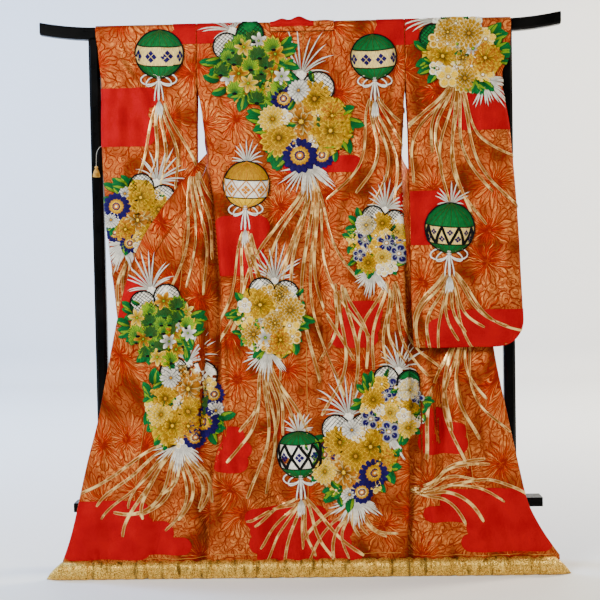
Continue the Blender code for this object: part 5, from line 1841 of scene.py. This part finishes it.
@dataclass
class Canvas:
    """One zone of the garment, on which patches are laid."""

    zone: Zone
    panels: list[ClothPanel]
    places: np.ndarray = field(init=False)
    normals: np.ndarray = field(init=False)
    triangles: np.ndarray = field(init=False)
    tree: BVHTree = field(init=False)

    def __post_init__(self) -> None:
        places, normals, triangles, count = [], [], [], 0
        facing = self.zone.value[1]
        for panel in self.panels:
            rows, columns = panel.outer.shape[:2]
            corners = numbered(rows, columns)[panel.cells]
            normal = panel.normals().reshape(-1, 3)
            toward_view = normal[corners].mean(axis=1)[:, 1] * facing
            corners = corners[toward_view > 0.25] + count
            triangles.append(corners[:, :3])
            triangles.append(corners[:, (0, 2, 3)])
            places.append(panel.outer.reshape(-1, 3))
            normals.append(normal)
            count += rows * columns
        self.places, self.normals = np.concatenate(places), np.concatenate(normals)
        self.triangles = np.concatenate(triangles)
        flat = self.places * (1, 0, 1)
        self.tree = BVHTree.FromPolygons(flat.tolist(), self.triangles.tolist())

    def land(self, plan: np.ndarray, lift: np.ndarray) -> tuple[np.ndarray, np.ndarray]:
        """Bring places of the plan onto the cloth.

        Args:
            plan: Places, X and Z in each row.
            lift: Heights over the cloth.

        Returns:
            The points, and whether each lies inside the zone.
        """
        hits = [self.tree.find_nearest((x, 0, z)) for x, z in plan.tolist()]
        index = np.array([hit[2] for hit in hits])
        near = np.array([hit[3] for hit in hits])
        spot = np.array([tuple(hit[0]) for hit in hits])[:, (0, 2)]
        a, b, c = (self.places[self.triangles[index, n]][:, (0, 2)] for n in range(3))
        whole = np.cross(b - a, c - a)
        whole = np.where(np.abs(whole) < 1e-14, 1e-14, whole)
        second = np.cross(spot - a, c - a) / whole
        third = np.cross(b - a, spot - a) / whole
        weights = np.stack((1 - second - third, second, third), axis=-1)[..., None]
        points = (self.places[self.triangles[index]] * weights).sum(axis=1)
        normals = unit((self.normals[self.triangles[index]] * weights).sum(axis=1))
        return points + normals * lift[:, None], near < 0.0004

    def lay(self, patches: Sequence[Patch], finishes: Finishes) -> bpy.types.Object | None:
        """Lay patches on the zone as one piece.

        Args:
            patches: What is worked on it.
            finishes: The scene's materials.

        Returns:
            The piece, or nothing where no patch falls on the zone.
        """
        facing = self.zone.value[1]
        low, high = self.places.min(axis=0)[[0, 2]], self.places.max(axis=0)[[0, 2]]
        picked = [
            p for p in patches if (p.plan.reshape(-1, 2).max(axis=0) > low).all()
            and (p.plan.reshape(-1, 2).min(axis=0) < high).all()
        ]
        if not picked:
            return None
        faces, slots, count = [], [], 0
        for patch in picked:
            rows, columns = patch.lift.shape
            quads = numbered(rows, columns)[..., (0, 3, 2, 1)].reshape(-1, 4) + count
            spread = patch.plan[1:, :-1] - patch.plan[:-1, :-1]
            aside = patch.plan[:-1, 1:] - patch.plan[:-1, :-1]
            area = np.cross(aside, spread).sum()
            faces.append(quads if area * facing < 0 else quads[:, ::-1])
            slots.append(np.full(len(quads), patch.thread.value))
            count += rows * columns
        plan = np.concatenate([p.plan.reshape(-1, 2) for p in picked])
        lift = np.concatenate([p.lift.ravel() for p in picked]) + CLEAR
        points, inside = self.land(plan, lift)
        faces, slots = np.concatenate(faces), np.concatenate(slots)
        first = points[faces[:, 2]] - points[faces[:, 0]]
        second = points[faces[:, 3]] - points[faces[:, 1]]
        size = np.linalg.norm(np.cross(first, second), axis=1)
        depth = points[faces][..., 1]
        whole = depth.max(axis=1) - depth.min(axis=1) < STRETCH
        kept = inside[faces].any(axis=1) & (size > 1e-9) & whole
        if not kept.any():
            return None
        used, faces = np.unique(faces[kept], return_inverse=True)
        faces = faces.reshape(-1, 4)
        stitch = np.concatenate([p.stitch.reshape(-1, 2) for p in picked])[used]
        materials = (finishes.silk, finishes.leaf, finishes.red_cloud)
        name = "worked_" + self.zone.name.lower()
        piece = new_piece(name, points[used], faces, materials, {"stitch": stitch}, slots[kept])
        sizes = [p.lift.size for p in picked]
        # The painted shade of each patch is multiplied into both of its colours.
        shade = np.concatenate([p.shade.ravel() for p in picked])[:, None]
        for word in ("core", "rim"):
            tone = np.repeat([getattr(p, word).value for p in picked], sizes, axis=0) * shade
            tone = np.pad(tone, ((0, 0), (0, 1)), constant_values=1)[used]
            made = piece.data.color_attributes.new(word, "FLOAT_COLOR", "POINT")
            made.data.foreach_set("color", tone.astype(np.float32).ravel())
        edge = np.concatenate([p.edge.ravel() for p in picked])[used]
        made = piece.data.attributes.new("edge", "FLOAT", "POINT")
        made.data.foreach_set("value", edge.astype(np.float32))
        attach(piece, "root")
        LOG.info("%s: %d patches, %d faces", name, len(picked), len(faces))
        return piece


def decorate(garment: Garment, finishes: Finishes) -> dict[str, list[bpy.types.Object]]:
    """Work every zone; returns the worked pieces for each panel that carries them."""
    drawn: dict[Zone, list[Patch]] = {zone: [] for zone in Zone}
    for seed, motif in enumerate((*CLOUDS, *SHEAVES, *FLOWER_BALLS, *HAND_BALLS)):
        needle = Needle(seed)
        motif.work(needle)
        for zone in motif.zones:
            drawn[zone].extend(needle.patches)
    worked: dict[str, list[bpy.types.Object]] = {}
    for zone, patches in drawn.items():
        panels = [garment.panels[word] for word in zone.value[0]]
        piece = Canvas(zone, panels).lay(patches, finishes) if patches else None
        if piece:
            worked.setdefault(panels[0].node, []).append(piece)
    return worked


# ---- the padded hem

@dataclass(frozen=True)
class HemRoll:
    """One padded length of the hem between two seams."""

    name: str
    start: float
    end: float
    gathers: tuple[float, ...]
    tip: Side | None = None


HEM_ROLLS = (
    HemRoll(
        "fuki_left", -0.831, -0.3195,
        (-0.69, -0.634, -0.59, -0.546, -0.512, -0.47, -0.434, -0.398, -0.352), Side.LEFT
    ),
    HemRoll("fuki_back_left", -0.319, 0.0048, (-0.298, -0.272, -0.244, -0.166, -0.086, -0.03)),
    HemRoll("fuki_back_right", 0.0052, 0.322, (0.03, 0.078, 0.14, 0.221, 0.27, 0.3)),
    HemRoll(
        "fuki_right", 0.3225, 0.83, (0.338, 0.362, 0.395, 0.424, 0.462, 0.508, 0.56, 0.64, 0.715),
        Side.RIGHT
    ),
)


@dataclass
class PaddedHem:
    """The thick gold roll along the hem, puffed between its gathers."""

    sides: int = 32
    step: float = 0.0045
    settle: int = 20
    move_cap: float = 0.006

    def size_at(self, roll: HemRoll, x: float) -> tuple[float, float]:
        """How full the roll is at a place between its gathers and its tip, as two shares."""
        size, tip = 1, 1
        for number, place in enumerate(roll.gathers):
            uneven = 0.34 - 0.16 * ((number * 3) % 4) / 3
            away = (x - place) / (0.006 + 0.003 * (number % 3))
            size -= uneven * exp(-away * away)
        if roll.tip:
            inset = abs(roll.end if roll.tip is Side.RIGHT else roll.start) - abs(x)
            tip = max(min(inset / TIP_LENGTH, 1), 0) ** 0.7
            tip = max(tip, 0.06)
        return size, tip

    def rings(self, roll: HemRoll) -> np.ndarray:
        """The roll's rings of points from end to end, with a flat underside."""
        count = int((roll.end - roll.start) / self.step)
        places = spaced(roll.start, roll.end, count)
        if roll.tip:
            free = roll.end if roll.tip is Side.RIGHT else roll.start
            near = [free - roll.tip.value * TIP_LENGTH * share for share in (0.01, 0.035, 0.075)]
            places = sorted(set(places + near))
        turn = 2 * pi * (np.arange(self.sides) + 0.5) / self.sides
        rings = []
        for x in places:
            size, tip = self.size_at(roll, x)
            height = FUKI_HEIGHT * tip * (1 - 0.35 * (1 - size))
            depth = FUKI_DEPTH * size * mix(tip, 1, 0.3 * tip)
            slant = 6.283 * x / 0.031 + 2 * sin(6.283 * x / 0.13) + 1.2 * np.cos(turn)
            depth = depth * (1 + 0.09 * np.sin(slant) * (0.4 + 0.6 * sin(9 * x) ** 2))
            y = hanging_y(HEM_HEIGHT) - 0.004 + 0.5 * depth * np.sin(turn)
            z = np.maximum(0.5 * (1 - np.cos(turn)) - FLAT_FOOT, 0) / (1 - FLAT_FOOT)
            rings.append(np.stack((np.full_like(y, x), y, height * z), axis=-1))
        return np.array(rings)

    def puff(self, piece: bpy.types.Object, pinned: list[int]) -> None:
        """Swell the wadding with a cloth simulation and keep its result in the mesh.

        Args:
            piece: The roll.
            pinned: The points that the stitches hold.
        """
        group = piece.vertex_groups.new(name="stitched")
        group.add(pinned, 1, "ADD")
        cloth = piece.modifiers.new("wadding", "CLOTH")
        cloth.settings.quality = 4
        cloth.settings.use_pressure = True
        cloth.settings.uniform_pressure_force = 4
        cloth.settings.vertex_group_mass = "stitched"
        cloth.settings.effector_weights.gravity = 0
        cloth.settings.tension_stiffness = 8
        cloth.settings.bending_stiffness = 0.4
        scene = bpy.context.scene
        for number in range(1, self.settle + 1):
            scene.frame_set(number)
        settled = piece.evaluated_get(bpy.context.evaluated_depsgraph_get()).to_mesh()
        count = len(piece.data.vertices)
        after = np.empty(count * 3, dtype=np.float32)
        settled.vertices.foreach_get("co", after)
        before = np.empty_like(after)
        piece.data.vertices.foreach_get("co", before)
        move = (after - before).reshape(-1, 3)
        length = np.linalg.norm(move, axis=1, keepdims=True)
        move *= np.minimum(1, self.move_cap / np.maximum(length, 1e-9))
        points = before.reshape(-1, 3) + move
        points[:, 2] = np.maximum(points[:, 2], 0)
        piece.modifiers.remove(cloth)
        piece.vertex_groups.remove(group)
        scene.frame_set(1)
        piece.data.vertices.foreach_set("co", points.astype(np.float32).ravel())
        piece.data.update()

    def build(self, finishes: Finishes) -> None:
        """Make the four rolls."""
        for roll in HEM_ROLLS:
            rings = self.rings(roll)
            count = len(rings)
            number = np.arange(count * self.sides).reshape(count, self.sides)
            faces = around(count, self.sides)[:, ::-1]
            caps = []
            half = self.sides // 2
            for ring, way in ((number[0], 1), (number[-1], -1)):
                for step in range(half - 1):
                    cap = (ring[step], ring[step + 1], ring[-step - 2], ring[-step - 1])
                    caps.append(cap[::way])
            faces = np.concatenate((faces, np.array(caps)))
            points = rings.reshape(-1, 3)
            girth = np.arange(self.sides) / self.sides * pi * FUKI_HEIGHT
            places = np.stack((points[:, 0], np.tile(girth, count)), axis=-1)
            piece = new_piece("padded_" + roll.name, points, faces, (finishes.gold_hem,), {"cloth": places})
            pinned = []
            for ring in range(count):
                x = rings[ring, 0, 0]
                held = min(abs(x - place) for place in roll.gathers) < 0.6 * self.step
                end = ring in (0, count - 1)
                for side in range(self.sides):
                    top = abs(side - half + 0.5) < 2
                    if end or top or (held and rings[ring, side, 2] > 0.2 * FUKI_HEIGHT):
                        pinned.append(int(number[ring, side]))
            self.puff(piece, pinned)
            refine = piece.modifiers.new("fine", "SUBSURF")
            refine.levels = refine.render_levels = 1
            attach(piece, "root")
            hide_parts(roll.name)
            LOG.info("%s: %d faces", piece.name, len(faces))


# ---- seams

@dataclass
class SewnSeams:
    """Cord and short stitches along the seams and over the padded hem, set by geometry nodes."""

    pitch: float = 0.008
    length: float = 0.0046
    thickness: float = 0.0011
    cord: float = 0.0008
    seed: int = 11

    def lines(self, garment: Garment) -> list[np.ndarray]:
        """The seams that are sewn through, as rows of points on the cloth."""
        found = []
        seam = garment.front_body
        first = OVERLAP_FIRST * garment.front_substeps
        for side in Side:
            back = garment.panels["back_" + side.word]
            over = garment.panels["okumi_" + side.word]
            front = garment.panels["front_" + side.word]
            for panel, rows, columns in (
                (back, -3, slice(1, garment.back_flat)), (front, -3, slice(1, seam)),
                (over, -3, slice(seam + 1, -1)), (over, slice(first + 1, -2), seam),
                (back, slice(12, -2), 0)
            ):
                face = panel.middle + panel.normals() * 0.4 * panel.wall
                found.append(face[rows, columns])
        return found[:-1]

    def tree(self) -> Any:
        """The node group: lines in, cord and stitches out."""
        tree = bpy.data.node_groups.new("sewn_seams", "GeometryNodeTree")
        for word, kind in (
            ("Lines", "Geometry"), ("Pitch", "Float"), ("Length", "Float"), ("Thickness", "Float"),
            ("Cord", "Float"), ("Seed", "Int"), ("Thread", "Material")
        ):
            tree.interface.new_socket(word, in_out="INPUT", socket_type="NodeSocket" + kind)
        tree.interface.new_socket("Sewn", in_out="OUTPUT", socket_type="NodeSocketGeometry")
        pen = NodeWriter(tree)
        given = pen.add("NodeGroupInput")
        curve = pen.add("GeometryNodeMeshToCurve", Mesh=given["Lines"])
        spread = pen.add(
            "GeometryNodeResampleCurve", {"mode": "LENGTH"}, Curve=curve, Length=given["Pitch"]
        )
        tangent = pen.add("GeometryNodeInputTangent")
        turned = pen.add("FunctionNodeAlignRotationToVector", {"axis": "X"}, Vector=tangent)
        bead = pen.add("GeometryNodeMeshUVSphere", Segments=8, Rings=5, Radius=0.5)
        thick = given["Thickness"]
        size = pen.add("ShaderNodeCombineXYZ", X=given["Length"], Y=thick, Z=thick)
        chance = pen.add("FunctionNodeRandomValue", Min=0.75, Max=1.15, Seed=given["Seed"])
        scaled = pen.add("ShaderNodeVectorMath", {"operation": "SCALE"}, Vector=size, Scale=chance["Value"])
        placed = pen.add(
            "GeometryNodeInstanceOnPoints", Points=spread, Instance=bead, Rotation=turned, Scale=scaled
        )
        ring = pen.add("GeometryNodeCurvePrimitiveCircle", Resolution=6, Radius=given["Cord"])
        cord = pen.add("GeometryNodeCurveToMesh", Curve=curve, Profile_Curve=ring)
        both = pen.add("GeometryNodeJoinGeometry", Geometry=cord)
        pen.put(placed, both.socket.node.inputs[0])
        made = pen.add("GeometryNodeRealizeInstances", Geometry=both)
        dressed = pen.add("GeometryNodeSetMaterial", Geometry=made, Material=given["Thread"])
        pen.put(dressed, tree.nodes.new("NodeGroupOutput").inputs["Sewn"])
        return tree

    def build(self, garment: Garment, finishes: Finishes) -> None:
        """Sew every seam and keep the result as one plain mesh."""
        lines = self.lines(garment)
        ends = np.cumsum([0] + [len(line) for line in lines])
        edges = [
            (int(start) + n, int(start) + n + 1)
            for start, line in zip(ends, lines) for n in range(len(line) - 1)
        ]
        mesh = bpy.data.meshes.new("seam_lines")
        mesh.from_pydata((np.concatenate(lines) + (0, STAND_Y, 0)).tolist(), edges, [])
        piece = bpy.data.objects.new("sewn_seams", mesh)
        show(piece)
        tree = self.tree()
        sockets = {s.name: s.identifier for s in tree.interface.items_tree if s.in_out == "INPUT"}
        sewn = piece.modifiers.new("sewn", "NODES")
        sewn.node_group = tree
        for word in ("Pitch", "Length", "Thickness", "Cord", "Seed"):
            sewn[sockets[word]] = getattr(self, word.lower())
        sewn[sockets["Thread"]] = finishes.thread
        shaped = piece.evaluated_get(bpy.context.evaluated_depsgraph_get())
        plain = bpy.data.meshes.new_from_object(shaped)
        piece.modifiers.remove(sewn)
        piece.data = plain
        plain.polygons.foreach_set("use_smooth", np.ones(len(plain.polygons), dtype=bool))
        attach(piece, "root")
        LOG.info("sewn_seams: %d faces", len(plain.polygons))


@dataclass
class CuffTassel:
    """A little gold tassel that hangs on a white thread from the left cuff."""

    top: float = 1.386
    drop: float = 0.066
    out: float = 0.02
    thread: float = 0.0009
    strands: int = 22
    outline: tuple[tuple[float, float], ...] = (
        (0.0002, 0.0012), (0.0036, 0), (0.0054, -0.003), (0.005, -0.006), (0.0034, -0.0085),
        (0.005, -0.0105), (0.008, -0.018), (0.0104, -0.028), (0.0114, -0.0345), (0.009, -0.0356),
        (0.0002, -0.0335)
    )

    def build(self, finishes: Finishes) -> None:
        """Make the thread and its tassel."""
        start = sleeve_point(Side.LEFT, "back", 1, self.top)
        path = []
        for number in range(24):
            share = number / 23
            aside = self.out * (1 - exp(-6 * share))
            path.append(start + Vector((-aside, STAND_Y, -self.drop * share)))
        line = bpy.data.curves.new("tassel_thread", "CURVE")
        line.dimensions = "3D"
        line.bevel_depth = 0.5 * self.thread
        line.use_fill_caps = True
        spline = line.splines.new("POLY")
        spline.points.add(len(path) - 1)
        for point, place in zip(spline.points, path):
            point.co = (*place, 1)
        line.materials.append(finishes.tacking)
        thread = bpy.data.objects.new("tassel_thread", line)
        show(thread)
        end = path[-1] - Vector((0, STAND_Y, 0))
        turns = np.radians(np.arange(4 * self.strands) * 90 / self.strands)
        rows = []
        for radius, drop in self.outline:
            reach = radius * (1 + (0.1 if drop < -0.009 else 0) * np.cos(self.strands * turns))
            x, y = end.x + reach * np.cos(turns), end.y + reach * np.sin(turns)
            rows.append(np.stack((x, y, end.z + drop + 0 * turns), axis=-1))
        faces = around(len(rows), len(turns))
        tassel = new_piece("cuff_tassel", np.concatenate(rows), faces, (finishes.tassel,))
        for piece in (thread, tassel):
            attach(piece, "root")


# ---- stand and studio

def dress_stand(finishes: Finishes) -> None:
    """Give the stand's own solids their lacquer."""
    for node in STAND_NODES:
        piece = bpy.data.objects[node]
        if not piece.data.materials:
            piece.data.materials.append(finishes.lacquer)
        for slot in piece.material_slots:
            slot.link = "OBJECT"
            slot.material = finishes.lacquer
        LOG.info("%s: lacquered", node)


class Lamp(NamedTuple):
    """A square area light; without an aim it looks at the garment's middle."""

    name: str
    place: tuple[float, float, float]
    size: float
    power: float
    colour: Colour
    aim: tuple[float, float, float] | None = None


@dataclass
class Studio:
    """Floor and wall in one sweep, soft lights, and the camera."""

    lamps: tuple[Lamp, ...] = (
        Lamp("key", (-2.9, -3, 3), 1.6, 244, (0.95, 0.97, 1)),
        Lamp("fill", (3.6, -3.4, 2.4), 2.4, 92, (1, 0.92, 0.74)),
        Lamp("wall_left", (-4.2, 1.8, 3.8), 2.4, 590, (0.36, 0.57, 1), (-1.2, 5.4, 0.4)),
        Lamp("wall_right", (4.2, 1.8, 3.8), 2.4, 550, (1, 0.88, 0.68), (1.2, 5.4, 0.4)),
        Lamp("behind", (0, 3.7, 3.4), 1.8, 60, (0.97, 0.98, 1))
    )
    ambient: float = 0.2

    width: float = 9.0
    wall_at: float = 6.0
    bend: float = 0.6
    high: float = 4.2
    near: float = -6.0
    distance: float = 3.6
    aside: float = -0.0127
    height: float = 0.999
    pitch: float = 2.05
    roll: float = 1.02
    azimuth: float = 1.25
    focal_px: float = 1090.7
    frame_px: float = 600.0
    sensor: float = 36.0

    def sweep(self, finishes: Finishes) -> None:
        """The paper of the floor, bent up behind the stand."""
        profile = [(self.near, 0)]
        for number in range(13):
            turn = radians(7.5 * number)
            back, down = self.bend * sin(turn), self.bend * cos(turn)
            profile.append((self.wall_at - self.bend + back, self.bend - down))
        profile.append((self.wall_at, self.high))
        points = [(x, y, z - 0.0005) for y, z in profile for x in (-self.width, self.width)]
        faces = [(2 * n, 2 * n + 1, 2 * n + 3, 2 * n + 2) for n in range(len(profile) - 1)]
        paper = new_piece("studio_sweep", np.array(points), np.array(faces), (finishes.paper,))

    def light(self, lamp: Lamp, aim: Vector) -> None:
        """A soft square light that looks at a point."""
        data = bpy.data.lights.new(lamp.name, "AREA")
        data.size = lamp.size
        data.energy = lamp.power
        data.color = lamp.colour
        made = bpy.data.objects.new(lamp.name, data)
        made.location = lamp.place
        look = Vector(lamp.aim) if lamp.aim else aim
        made.rotation_euler = (look - made.location).to_track_quat("-Z", "Y").to_euler()
        show(made)

    def camera(self) -> None:
        """The camera, a little to the right of the middle and level with the chest."""
        turn, tilt = radians(self.azimuth), radians(self.pitch)
        x = self.distance * sin(turn) + self.aside * cos(turn)
        y = -self.distance * cos(turn) + self.aside * sin(turn) + STAND_Y
        place = Vector((x, y, self.height))
        look = Vector((-sin(turn) * cos(tilt), cos(turn) * cos(tilt), -sin(tilt)))
        lean = Matrix.Rotation(-radians(self.roll), 4, "Z")
        data = bpy.data.cameras.new("camera")
        data.sensor_width = self.sensor
        data.lens = self.focal_px / self.frame_px * self.sensor
        camera = bpy.data.objects.new("camera", data)
        camera.matrix_world = (
            Matrix.Translation(place) @ look.to_track_quat("-Z", "Y").to_matrix().to_4x4() @ lean
        )
        show(camera)
        bpy.context.scene.camera = camera

    def build(self, finishes: Finishes) -> None:
        """Set up the studio."""
        self.sweep(finishes)
        self.camera()
        middle = Vector((0, 0, 0.95))
        for lamp in self.lamps:
            self.light(lamp, middle)
        world = bpy.data.worlds.new("studio_air")
        world.use_nodes = True
        air = world.node_tree.nodes["Background"]
        air.inputs["Color"].default_value = (0.97, 0.98, 1, 1)
        air.inputs["Strength"].default_value = self.ambient
        bpy.context.scene.world = world


# ---- the whole


def main() -> None:
    """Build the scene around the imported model."""
    logging.basicConfig(level=logging.INFO, format="%(message)s")
    finishes = Finishes()
    Studio().build(finishes)
    dress_stand(finishes)
    garment = Garment()
    garment.cut()
    pieces = {name: panel.build(finishes) for name, panel in garment.panels.items()}
    worked = decorate(garment, finishes)
    for name, piece in pieces.items():
        garment.panels[name].declare(piece, worked.get(name, ()))
    PaddedHem().build(finishes)
    SewnSeams().build(garment, finishes)
    CuffTassel().build(finishes)


if __name__ == "__main__":
    main()
